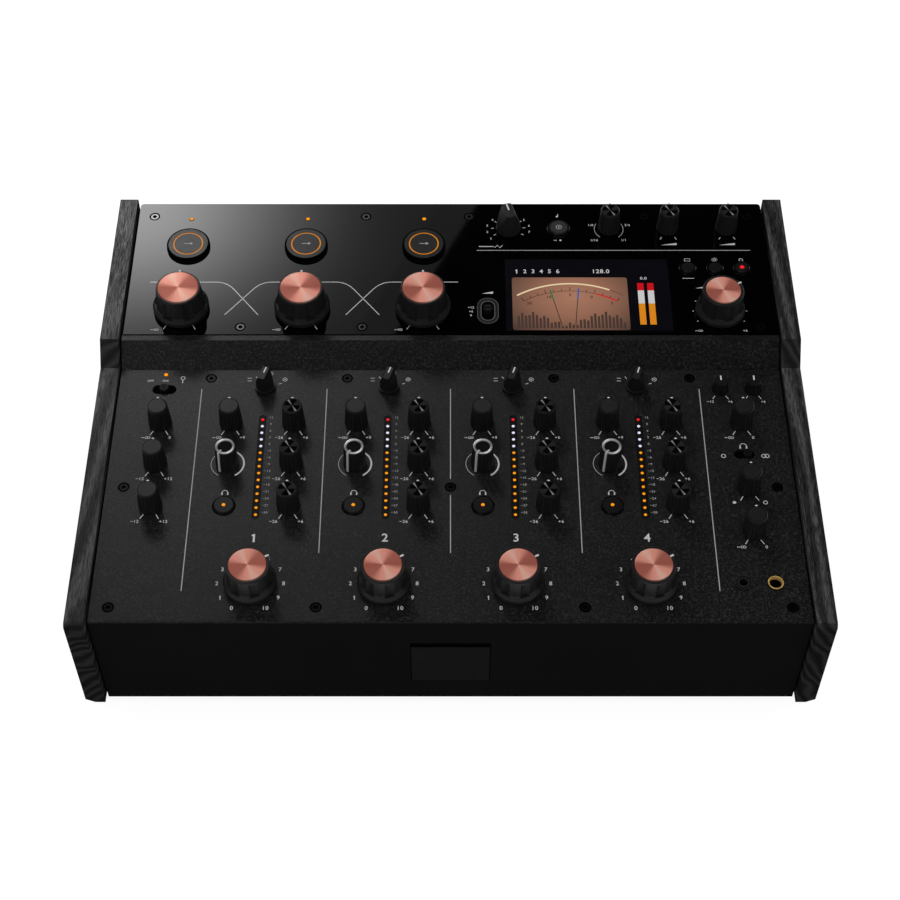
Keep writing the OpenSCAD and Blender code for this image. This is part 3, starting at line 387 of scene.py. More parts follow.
@dataclass(frozen=True)
class CircuitBoard(Finish):
    """Glass-epoxy board under green solder resist, with paler tracks."""

    def look(self, net: Net, place: Socket) -> Look:
        """Draws tracks as the cell edges of a block pattern."""
        cells = net.put("ShaderNodeTexVoronoi", {"Vector": place, "Scale": 220.0}, "Distance",
                        distance="CHEBYCHEV", feature="DISTANCE_TO_EDGE")
        return {"Base Color": net.ramp(cells, [(0.05, "#3d7a52"), (0.12, "#12402a")]), "Roughness": 0.35}


DECK_COAT = PowderCoat("textured_powder_coat", "#0e0e0f", "#333335")  # black with a fine sparkle
TRAY_COAT = PowderCoat("satin_powder_coat", "#0b0b0c", "#131314", 0.9, 0.03, 0.5, 0.1)  # near black, dull
ACRYLIC = CastAcrylic("black_cast_acrylic")  # black mirror
ASH = StainedAsh("black_stained_ash")  # dark charcoal with paler grain lines
KNOB_PLASTIC = MouldedPlastic("moulded_black_abs", "#171717", 0.45, 0.9)  # soft black with a pale top
BUTTON_PLASTIC = MouldedPlastic("satin_black_polycarbonate", "#141415", 0.3, 0.6)  # smoother black
BEZEL_PLASTIC = MouldedPlastic("polished_black_polycarbonate", "#050505", 0.12, 0.5, 2.0)  # glossy black rim
RUBBER = MouldedPlastic("moulded_black_rubber", "#0c0c0c", 0.75, 0.25, 0.8, 0.15)
SOCKET_PLASTIC = MouldedPlastic("glass_filled_black_nylon", "#0d0d0e", 0.5, 0.4)
SCREEN_GLASS = MouldedPlastic("display_black_glass", "#0d0c11", 0.12, 0.4, 2.0)
SWITCH_PLASTIC = MouldedPlastic("ribbed_switch_plastic", "#0b0b0c", 0.5, 0.45)
BADGE_BLANK = MouldedPlastic("satin_badge_blank", "#212122", 0.4, 0.2, 2.0, 0.0)
# matt black for slides, knob edge lines and send rims; also painted shade round the screw heads and over the front
# plate
MATT_BLACK_AND_SHADE = MouldedPlastic("matt_black_and_painted_shade", "#050505", 0.6, 0.02, 0.35, 0.0)
COPPER = SpunMetal("spun_copper_anodised_aluminium", (  # rose copper, two bright lobes of painted reflection
    (0.0, "#f9a793"), (0.25, "#b5685a"), (0.48, "#b26557"), (0.66, "#f9a793"), (0.86, "#ffc4b2"), (1.0, "#f9a793")),
    0.3, 0.22)
DARK_DISC = SpunMetal("turned_black_anodised_insert", (  # black, with painted reflection: grey wedges and one thin bright streak
    (0.0, "#050505"), (0.19, "#050505"), (0.22, "#29292b"), (0.48, "#29292b"), (0.51, "#050505"),
    (0.76, "#050505"), (0.83, "#949496"), (0.9, "#050505"), (1.0, "#050505")), 0.5, 0.0, 0.02, 0.02)
SILVER = SpunMetal("turned_bright_aluminium", (  # painted reflection lobes from mid grey to near white
    (0.0, "#c8c8c8"), (0.4, "#8a8a8a"), (0.85, "#ffffff"), (1.0, "#c8c8c8")), 0.25, 0.3, 0.05)
SCREW_STEEL = PlatedMetal("blackened_steel_screw", "#3c3c3e", 0.35)
SCREW_FACE = PlatedMetal("worn_screw_face", "#6a6a6c", 0.16)
DULL_SCREW_FACE = PlatedMetal("blackened_screw_face", "#3c3c3e", 0.3)
GOLD = PlatedMetal("gold_plated_brass", "#ffcf7c", 0.25, 0.4)
INK = PrintedInk("printed_warm_white_ink", "#e2e2e0")
GREY_INK = PrintedInk("printed_grey_ink", "#bababb")
REVERSE_INK = PrintedInk("reverse_printed_white_ink", "#d8d8d7", 0.05, 0.5)  # seen through the acrylic
POINTER_SILVER = PrintedInk("silver_painted_pointer", "#c4c4c4")
# grey rings on the small jack's edges: painted highlights
JACK_EDGE_HIGHLIGHT = PrintedInk("painted_jack_edge_highlight", "#3a3a3c")
TAP_GREY = PrintedInk("tap_cap_grey", "#3a373c")
# grey lines on the boost bezel's lips: painted highlights
BEZEL_EDGE_HIGHLIGHT = PrintedInk("painted_bezel_edge_highlight", "#5e5e60")
ORANGE_LAMP = LitLens("orange_lamp_lens", "#f9960f")
WHITE_LAMP = LitLens("white_lamp_lens", "#dcdcf6")
RED_LAMP = LitLens("red_lamp_lens", "#f01b28")
ORANGE_RING = LitLens("orange_light_ring", "#e58a12", 0.78)
BOARD = CircuitBoard("glass_epoxy_board")


# ---- shapes -----------------------------------------------------------------
def seat(name: str, shape: BMesh | Mesh, place: Matrix, finish: Finish | None,
         body: str = "body") -> None:
    """Makes a piece of a shape, which rides on a body.

    Args:
        name: name of the piece.
        shape: its faces in its own millimetres; a BMesh is used up.
        place: from those to the deck's millimetres.
        finish: its finish, or None where the mesh has its material.
        body: the body that carries it.
    """
    data = shape
    if isinstance(shape, BMesh):
        data = bpy.data.meshes.new(name)
        shape.to_mesh(data)
        shape.free()
    data.transform(TO_FRAME @ place)
    made = bpy.data.objects.new(name, data)
    bpy.context.scene.collection.objects.link(made)
    if finish is not None:
        data.materials.clear()
        data.materials.append(finish.dress())
    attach(made, body)
    LOG.info("%s on %s: %d faces", name, body, len(data.polygons))


class Letters:
    """Flat outlines of words at size 1, kept for reuse."""

    store: dict[str, Mesh] = {}

    @classmethod
    def outline(cls, words: str) -> Mesh:
        """Returns the filled outline of words, centred on the origin."""
        if words not in cls.store:
            curve = bpy.data.curves.new("letters", "FONT")
            curve.body = words
            curve.align_x = curve.align_y = "CENTER"
            curve.resolution_u = 3
            curve.offset = 0.012
            curve.space_character = 1.12
            holder = bpy.data.objects.new("letters", curve)
            bpy.context.scene.collection.objects.link(holder)
            graph = bpy.context.evaluated_depsgraph_get()
            cls.store[words] = bpy.data.meshes.new_from_object(holder.evaluated_get(graph))
            bpy.data.objects.remove(holder)
        return cls.store[words]


class Sketch:
    """Flat shapes gathered at one height over the deck, in deck millimetres."""

    CAPITAL = 0.72  # height of a capital at size 1
    ONE = ((-0.08, -0.5), (0.13, -0.5), (0.13, 0.5), (-0.03, 0.5), (-0.26, 0.34), (-0.18, 0.2), (-0.08, 0.27))

    def __init__(self, level: float) -> None:
        """Starts an empty sketch."""
        self.level = level
        self.mesh = bmesh.new()

    def corner(self, spot: Spot) -> BMVert:
        """Adds one corner at the sketch's height."""
        return self.mesh.verts.new((*spot, self.level))

    def polygon(self, corners: Iterable[Spot]) -> "Sketch":
        """Adds a face through corners in counter-clockwise order."""
        self.mesh.faces.new([self.corner(spot) for spot in corners])
        return self

    def plate(self, left: float, right: float, low: float, high: float) -> "Sketch":
        """Adds a filled rectangle."""
        return self.polygon([(left, low), (right, low), (right, high), (left, high)])

    def stroke(self, start: Spot, end: Spot, width: float) -> "Sketch":
        """Adds a straight line of a given width."""
        a, b = Vector(start), Vector(end)
        side = Vector((a.y - b.y, b.x - a.x)).normalized() * width / 2
        return self.polygon([a - side, b - side, b + side, a + side])

    def path(self, spots: Sequence[Spot], width: float) -> "Sketch":
        """Adds a bent line as one strip of quads."""
        points = [Vector(spot) for spot in spots]
        left, right = [], []
        for i, point in enumerate(points):
            ahead = points[min(i + 1, len(points) - 1)] - points[max(i - 1, 0)]
            side = Vector((-ahead.y, ahead.x)).normalized() * width / 2
            left.append(self.corner(point + side))
            right.append(self.corner(point - side))
        for i in range(len(points) - 1):
            self.mesh.faces.new([right[i], right[i + 1], left[i + 1], left[i]])
        return self

    def arc(self, centre: Spot, radius: float, width: float, start: float, end: float, steps: int = 24) -> "Sketch":
        """Adds a curved line, from start to end in degrees clockwise from the rear."""
        return self.path([turned(radius, start + (end - start) * i / steps, centre) for i in range(steps + 1)], width)

    def disc(self, centre: Spot, radius: float, steps: int = 24) -> "Sketch":
        """Adds a filled circle."""
        return self.polygon([turned(radius, -360.0 * i / steps, centre) for i in range(steps)])

    def ring(self, centre: Spot, radius: float, width: float, steps: int = 40) -> "Sketch":
        """Adds a closed round line."""
        return self.arc(centre, radius, width, 0.0, 360.0, steps)

    def slot(self, centre: Spot, wide: float, high: float, width: float) -> "Sketch":
        """Adds the outline of an upright slot with round ends."""
        reach = (high - wide) / 2
        spots = [turned(wide / 2, start + 15.0 * i, (centre[0], centre[1] + end))
                 for end, start in ((reach, -90.0), (-reach, 90.0)) for i in range(13)]
        return self.path([*spots, *spots[:2]], width)

    def words(self, text: str, centre: Spot, tall: float) -> "Sketch":
        """Adds generic figures whose capitals are tall millimetres high."""
        x, y = centre
        if text == "−∞":
            self.stroke((x - 1.45 * tall, y), (x - 0.6 * tall, y), 0.2 * tall)
            for side in (-0.02, 0.7):
                self.ring((x + side * tall, y), 0.35 * tall, 0.15 * tall, 16)
            return self
        if text == "1":
            return self.polygon([(x + tall * across, y + tall * up) for across, up in self.ONE])
        piece = Letters.outline(text).copy()
        piece.transform(Matrix.Translation((x, y, self.level)) @ Matrix.Scale(tall / self.CAPITAL, 4))
        self.mesh.from_mesh(piece)
        bpy.data.meshes.remove(piece)
        return self

    def lay(self, name: str, finish: Finish, slot: str = "controls", body: str = "body") -> None:
        """Turns the sketch into a piece."""
        seat(name, self.mesh, Matrix(), finish, body)


def turned_piece(name: str, profile: Sequence[Spot], spot: Spot, level: float, finish: Finish,
                 body: str = "body", steps: int = 72) -> None:
    """Lathes a piece, with a UV map named Turned, and seats it on a deck.

    Args:
        name: name of the piece.
        profile: (radius, height) pairs from outside to centre; a radius of 0 closes the shape.
        spot: its axis.
        level: deck height that the profile counts from.
        finish: its finish.
        body: the body that carries it.
        steps: faces round the turn.
    """
    shape = bmesh.new()
    chart = shape.loops.layers.uv.new("Turned")
    widest = max(radius for radius, _ in profile)
    rows = [[shape.verts.new((*turned(radius, -360.0 * i / steps), height)) for i in range(steps if radius else 1)]
            for radius, height in profile]
    for row, (lower, upper) in enumerate(zip(rows, rows[1:])):
        for i in range(steps):
            j = (i + 1) % steps
            corners = [(lower, i), (lower, j), (upper, j), (upper, i)]
            if len(upper) == 1:
                corners = [(lower, i), (lower, j), (upper, 0)]
            elif len(lower) == 1:
                corners = [(lower, 0), (upper, j), (upper, i)]
            face = shape.faces.new([row_of[at] for row_of, at in corners])
            face.smooth = True
            for loop, (row_of, at) in zip(face.loops, corners):
                turn = (i + 0.5) / steps if len(row_of) == 1 else (i if at == i else i + 1) / steps
                loop[chart].uv = (turn, profile[row if row_of is lower else row + 1][0] / widest)
    seat(name, shape, Matrix.Translation((*spot, level)), finish, body)


def cuboid(size: Sequence[float], rounding: float, foot: Sequence[float], lean: float = 0.0) -> BMesh:
    """A block with rounded edges that stands on foot and leans back round its lower edge by lean radians."""
    bar = bmesh.new()
    corners = bmesh.ops.create_cube(bar, size=1.0)["verts"]
    bmesh.ops.scale(bar, verts=corners, vec=size)
    bmesh.ops.translate(bar, verts=corners, vec=(0.0, 0.0, size[2] / 2))
    bmesh.ops.rotate(bar, verts=corners, matrix=Matrix.Rotation(lean, 3, "X"))
    bmesh.ops.translate(bar, verts=corners, vec=foot)
    bmesh.ops.bevel(bar, geom=bar.edges[:], offset=rounding, segments=2, affect="EDGES")
    return bar


# ---- what repeats -----------------------------------------------------------
@dataclass(frozen=True)
class Strokes:
    """Printed strokes set in an arc round every given point, with Geometry Nodes."""

    radius: float = 0.0  # of the arc, millimetres
    length: float = 2.0
    width: float = 0.35
    start: float = 0.0  # degrees clockwise from the rear
    step: float = 300.0
    count: int = 1

    def unit(self, net: Net, given: NodeOutputs) -> Socket:
        """Returns one stroke, which points away from the centre."""
        return net.put("GeometryNodeMeshGrid", {"Size X": given["width"], "Size Y": given["length"],
                                                "Vertices X": 2, "Vertices Y": 2}, "Mesh")

    def tree(self) -> tuple[NodeTree, dict[str, str]]:
        """Builds the node tree, and returns it with the identifier of each named input."""
        made = bpy.data.node_groups.new("repeat_" + type(self).__name__.lower(), "GeometryNodeTree")
        net = Net(made)
        names = {}
        for name, kind in (("points", "Geometry"), ("radius", "Float"), ("length", "Float"), ("width", "Float"),
                           ("start", "Float"), ("step", "Float"), ("count", "Int"), ("finish", "Material")):
            names[name] = made.interface.new_socket(name, in_out="INPUT", socket_type="NodeSocket" + kind).identifier
        made.interface.new_socket("solid", in_out="OUTPUT", socket_type="NodeSocketGeometry")
        given = net.outputs("NodeGroupInput")
        degrees = net.math("MULTIPLY_ADD", net.put("GeometryNodeInputIndex"), given["step"], given["start"])
        angle = net.math("RADIANS", degrees)
        across, upward = (net.math("MULTIPLY", net.math(part, angle), given["radius"]) for part in ("SINE", "COSINE"))
        spot = net.put("ShaderNodeCombineXYZ", {"X": across, "Y": upward})
        back = net.put("ShaderNodeCombineXYZ", {"Z": net.math("MULTIPLY", angle, -1.0)})
        arc = net.put("GeometryNodePoints", {"Count": given["count"], "Position": spot})
        placed = net.put("GeometryNodeInstanceOnPoints", {
            "Points": arc, "Instance": self.unit(net, given),
            "Rotation": net.put("FunctionNodeEulerToRotation", {"Euler": back})})
        spread = net.put("GeometryNodeInstanceOnPoints", {"Points": given["points"], "Instance": placed})
        solid = net.put("GeometryNodeRealizeInstances", {"Geometry": spread})
        inked = net.put("GeometryNodeSetMaterial", {"Geometry": solid, "Material": given["finish"]})
        net.outputs("NodeGroupOutput", {"solid": inked})
        return made, names

    def lay(self, name: str, spots: Iterable[Spot], level: float, finish: Finish = INK,
            slot: str = "controls") -> None:
        """Sets the shapes round each spot, at height level, and seats the result as a plain mesh."""
        seeds = bpy.data.meshes.new(name)
        seeds.from_pydata([(*spot, level) for spot in spots], [], [])
        holder = bpy.data.objects.new(name + "_seeds", seeds)
        bpy.context.scene.collection.objects.link(holder)
        modifier = holder.modifiers.new("repeat", "NODES")
        modifier.node_group, names = self.tree()
        for label in ("radius", "length", "width", "start", "step", "count"):
            modifier[names[label]] = getattr(self, label)
        modifier[names["finish"]] = finish.dress()
        graph = bpy.context.evaluated_depsgraph_get()
        data = bpy.data.meshes.new_from_object(holder.evaluated_get(graph))
        bpy.data.objects.remove(holder)
        data.name = name
        seat(name, data, Matrix(), None)


class Lenses(Strokes):
    """Domed lenses set in an arc round every given point."""

    DOME = 0.35  # height over radius

    def unit(self, net: Net, given: NodeOutputs) -> Socket:
        """Returns one flattened ball of radius width."""
        ball = net.put("GeometryNodeMeshUVSphere", {"Segments": 16, "Rings": 8, "Radius": given["width"]}, "Mesh")
        return net.put("GeometryNodeTransform", {"Geometry": ball, "Scale": (1.0, 1.0, self.DOME)})


# ---- carried-over solids ----------------------------------------------------
class Carcass:
    """Gives each carried-over solid its finish."""

    WHOLE = {
        "chassis_tray": TRAY_COAT, "control_deck": DECK_COAT, "glossy_panel": ACRYLIC,
        "side_panel_left": ASH, "side_panel_right": ASH, "display_module": SCREEN_GLASS,
        "indicator_lights": SOCKET_PLASTIC, "circuit_boards": BOARD, "sockets": SOCKET_PLASTIC,
        "screws": SCREW_STEEL, "feet": RUBBER, "small_controls": BUTTON_PLASTIC,
    }

    def finish(self, node: str) -> Finish:
        """Picks the finish of one node."""
        if node.startswith("send_button"):
            return BUTTON_PLASTIC
        return self.WHOLE.get(node, SWITCH_PLASTIC if node.endswith("_switch") else KNOB_PLASTIC)

    def dress(self, nodes: dict[str, Object]) -> None:
        """Assigns a finish to the material slots of every node."""
        for name, piece in nodes.items():
            material = self.finish(name).dress()
            if not piece.material_slots:
                piece.data.materials.append(material)
            for slot in piece.material_slots:
                slot.material = material
            LOG.info("%s: %s", name, material.name)


# ---- knobs ------------------------------------------------------------------
@dataclass
class Knob:
    """A knob's own place, for the parts that it carries."""

    body: str
    spot: Spot
    level: float
    pointer: float = 0.0  # degrees clockwise from the rear
    tall: float = 15.2

    def build(self) -> None:
        """Adds the parts."""
        raise NotImplementedError

    def turn(self, part: str, profile: Iterable[Spot], finish: Finish, steps: int, spot: Spot | None = None) -> None:
        """Lathes a part whose heights count from the knob's top."""
        turned_piece(f"{self.body}_{part}", [(radius, self.tall + height) for radius, height in profile],
                     spot or self.spot, self.level, finish, body=self.body, steps=steps)

    def bar(self, part: str, across: float, along: Spot, upright: Spot, finish: Finish, lean: float = 0.0) -> None:
        """Adds a bar that points away from the axis, as wide as across, with its ends and its foot and top."""
        size = (across, along[1] - along[0], upright[1] - upright[0])
        shape = cuboid(size, min(size) * 0.2, (0.0, sum(along) / 2, upright[0]), lean)
        place = Matrix.Translation((*self.spot, self.level)) @ Matrix.Rotation(-math.radians(self.pointer), 4, "Z")
        seat(f"{self.body}_{part}", shape, place, finish, body=self.body)


@dataclass
class LargeKnob(Knob):
    """Large knob with a metal cap."""

    tall: float = 17.4
    cap_r: float = 9.6
    rim_r: float = 11.25

    def build(self) -> None:
        """Seats the spun cap, and the pointer bar on the rim."""
        wide = self.cap_r
        self.turn("cap", [(0.0, -0.85), (wide - 0.02, -0.85), (wide + 0.02, -0.22), (wide - 0.25, 0.04),
                          (wide - 0.7, 0.06), (wide * 0.5, 0.03), (0.0, 0.02)], COPPER, 96)
        self.bar("pointer", 1.0, (wide + 0.05, self.rim_r + 0.5), (self.tall - 0.6, self.tall - 0.14), INK)


@dataclass
class SmallKnob(Knob):
    """Small fluted knob with a dot on its edge."""

    EDGE_R, DOT_R = 4.72, 5.0

    def build(self) -> None:
        """Draws the edge of the top and sets the domed dot."""
        Sketch(self.level + self.tall + 0.01).ring(self.spot, self.EDGE_R, 0.24).lay(
            f"{self.body}_edge_line", MATT_BLACK_AND_SHADE, body=self.body)
        self.turn("dot", [(0.74, -1.6), (0.74, -0.14), (0.6, -0.04), (0.3, 0.005), (0.0, 0.02)], INK, 20,
                  turned(self.DOT_R, self.pointer, self.spot))


@dataclass
class InsertKnob(SmallKnob):
    """Small knob with a turned metal insert."""

    def build(self) -> None:
        """Adds the insert under the dot."""
        self.turn("insert", [(4.33, -0.15), (4.33, -0.06), (4.2, -0.02), (0.0, -0.03)], DARK_DISC, 48)
        super().build()


@dataclass
class RingKnob(Knob):
    """Small knob with a bright ring, and a bright bar across the ring and down the side."""

    def build(self) -> None:
        """Adds the ring, the bar's two stretches and the dark recess in the ring."""
        self.turn("ring", [(3.8, -0.6), (5.0, -0.2), (5.05, 0.02), (4.95, 0.08), (3.95, 0.08), (3.8, -0.02),
                           (3.8, -0.6)], SILVER, 60)
        lean = math.atan2(6.2 - 5.3, self.tall - 0.8)  # the side's own taper
        self.bar("tip", 1.28, (2.85, 5.5), (self.tall - 1.0, self.tall + 0.24), POINTER_SILVER)
        self.bar("bar", 1.28, (6.0, 6.68), (0.4, self.tall - 0.2), POINTER_SILVER, lean)
        self.turn("recess", [(3.75, -0.6), (0.0, -0.6)], RUBBER, 40)


@dataclass
class LineKnob(Knob):
    """Pointer knob with a white line."""

    reach: float = 4.15
    width: float = 0.7

    def build(self) -> None:
        """Prints the line from near the centre outwards."""
        ends = (turned(radius, self.pointer, self.spot) for radius in (0.2, self.reach))
        Sketch(self.level + self.tall + 0.01).stroke(*ends, self.width).lay(f"{self.body}_line", INK, body=self.body)


def build_knobs() -> None:
    """Adds the parts of the knobs that stand outside the channels."""
    knobs: list[Knob] = [LargeKnob(f"isolator_knob_{name}", (x, BAND_S), GLOSS_N, cap_r=11.25, rim_r=12.2)
                         for name, x in BANDS.items()]
    knobs.append(LargeKnob("master_knob", MASTER, GLOSS_N, 60.0, rim_r=11.3))
    knobs.append(LineKnob("effect_selector", EFFECT, GLOSS_N, -15.0, reach=5.3, width=0.9))
    knobs += [InsertKnob(f"{name}_knob", spot, GLOSS_N)
              for name, spot in (("beat", BEAT), ("parameter", PARAMETER), ("return", RETURN))]
    for names, x, rows in ((("mic_level", "mic_high", "mic_low"), -OUTER_X, ROWS),
                           (("booth", "phones_mix", "phones_level"), OUTER_X, (ROWS[0], *PHONES_ROWS))):
        knobs += [SmallKnob(f"{name}_knob", (x, row), DECK_N) for name, row in zip(names, rows)]
    for knob in knobs:
        knob.build()
    for side, x in zip(("left", "right"), TONE_X):
        Sketch(DECK_N + 7.53).stroke((x, 151.6), (x, 154.6), 0.8).lay(f"booth_tone_line_{side}", INK)


def build_channel_knobs() -> None:
    """Adds the parts of the four channels' knobs."""
    for number, middle in CHANNELS.items():
        left, right = middle - COLUMN, middle + COLUMN
        LineKnob(f"input_selector_{number}", (middle, SELECTOR_S), DECK_N, 18.0, 12.4).build()
        SmallKnob(f"trim_knob_{number}", (left, ROWS[0]), DECK_N).build()
        RingKnob(f"filter_knob_{number}", (left, ROWS[1]), DECK_N, -145.0).build()
        for name, row in zip(("high", "mid", "low"), ROWS):
            InsertKnob(f"{name}_knob_{number}", (right, row), DECK_N).build()
        LargeKnob(f"level_knob_{number}", (middle, LEVEL_S), DECK_N, 60.0).build()


# ---- printed marks ----------------------------------------------------------
class LowerMarks:
    """Figures, strokes and signs printed on the lower deck."""

    LEVEL = DECK_N + FILM

    def __init__(self) -> None:
        """Opens one sketch for each ink."""
        self.ink = Sketch(self.LEVEL)
        self.grey = Sketch(self.LEVEL)

    def build(self) -> None:
        """Prints all marks of the lower deck."""
        for number, middle in CHANNELS.items():
            self.channel(number, middle)
        for x, low, high in ((-134.2, 22.1, 151.4), (134.2, 22.1, 151.4), (-66.6, 44.9, 151.4), (66.6, 44.9, 151.4),
                             (0.0, 44.9, 80.9), (0.0, 91.2, 151.4)):
            self.grey.stroke((x, low), (x, high), 0.5)
        self.microphone()
        self.monitor()
        middles = CHANNELS.values()
        ticks = [(x, row) for row in ROWS for x in (-OUTER_X, *(middle + COLUMN for middle in middles))]
        ticks += [(middle - COLUMN, ROWS[0]) for middle in middles]
        ticks += [(OUTER_X, row) for row in (ROWS[0], *PHONES_ROWS)]
        Strokes(7.8, 3.05, 0.45, -149.0, 298.0, 2).lay("small_knob_strokes", ticks, self.LEVEL)
        Strokes(6.7, 2.5, 0.4, -148.0, 296.0, 2).lay("booth_tone_strokes", [(x, TONE_S) for x in TONE_X], self.LEVEL)
        Strokes(8.4, 1.7, 0.4, -36.0, 54.0, 3).lay("selector_strokes", [(x, SELECTOR_S) for x in middles], self.LEVEL)
        self.ink.lay("lower_deck_figures", INK)
        self.grey.lay("lower_deck_rules", GREY_INK)

    def span(self, spot: Spot, left: str, right: str, wide: float = 5.0, drop: float = 9.8,
             tall: float = 1.85) -> None:
        """Prints the two end figures of a small knob."""
        for side, text in ((-1, left), (1, right)):
            self.ink.words(text, (spot[0] + side * (wide + 0.43 * tall * len(text)), spot[1] - drop), tall)

    def headphones(self, spot: Spot, size: float) -> None:
        """Prints a headphones sign."""
        self.ink.arc(spot, size, 0.34, -100.0, 100.0)
        for x in (spot[0] - size, spot[0] + size):
            self.ink.stroke((x, spot[1] - 0.9 * size), (x, spot[1] + 0.1 * size), 0.75)

    def channel(self, number: int, middle: float) -> None:
        """Prints the marks of one channel."""
        left, right = middle - COLUMN, middle + COLUMN
        self.ink.words(str(number), (middle, 54.0), 5.0)
        self.span((left, ROWS[0]), "−∞", "+9")
        for row in ROWS:
            self.span((right, row), "−26", "+6")
        self.grey.arc((left, ROWS[1]), 8.6, 0.35, -150.0, -20.0)
        self.ink.arc((left, ROWS[1]), 8.6, 0.9, 20.0, 150.0)
        self.headphones((left, 82.4), 1.5)
        for figure in range(11):
            self.ink.words(str(figure), turned(16.7, -150.0 + 30.0 * figure, (middle, LEVEL_S)), 2.3)
        for place in range(15):
            spot = (middle + 4.5, METER_S + (7 - place) * METER_STEP + 1.3)
            self.grey.words(str(12 - 3 * place).replace("-", "−"), spot, 1.4)
        source = (middle + 10.4, 158.0)
        self.ink.ring(source, 1.15, 0.3).disc(source, 0.4)
        for s in (157.0, 158.9):
            self.ink.stroke((middle - 9.9, s), (middle - 7.7, s), 0.35)
        self.ink.ring((middle + 2.6, 162.1), 0.95, 0.3)

    def microphone(self) -> None:
        """Prints the microphone column and its switch."""
        for row, left, right in zip(ROWS, ("−∞", "−12", "−12"), ("0", "+12", "+12")):
            self.span((-OUTER_X, row), left, right)
        self.ink.words("OFF", (-162.4, 157.0), 1.4).words("ON", (-OUTER_X, 157.0), 1.4)
        self.ink.ring((-145.0, 158.9), 1.1, 0.35).stroke((-145.0, 157.6), (-145.0, 155.4), 0.5)

    def monitor(self) -> None:
        """Prints the booth and headphone column."""
        for x in TONE_X:
            self.span((x, TONE_S), "−12", "+6", 3.6, 8.6, 1.6)
        self.span((OUTER_X, ROWS[0]), "−∞", "0")
        self.headphones((OUTER_X, 112.6), 1.7)
        for x in (143.4, 164.6, 166.3):
            self.ink.ring((x, 106.2), 1.1, 0.35)
        self.ink.disc((146.4, 76.2), 0.9).ring((162.4, 76.2), 1.0, 0.4)
        self.span((OUTER_X, PHONES_ROWS[1]), "−∞", "0")


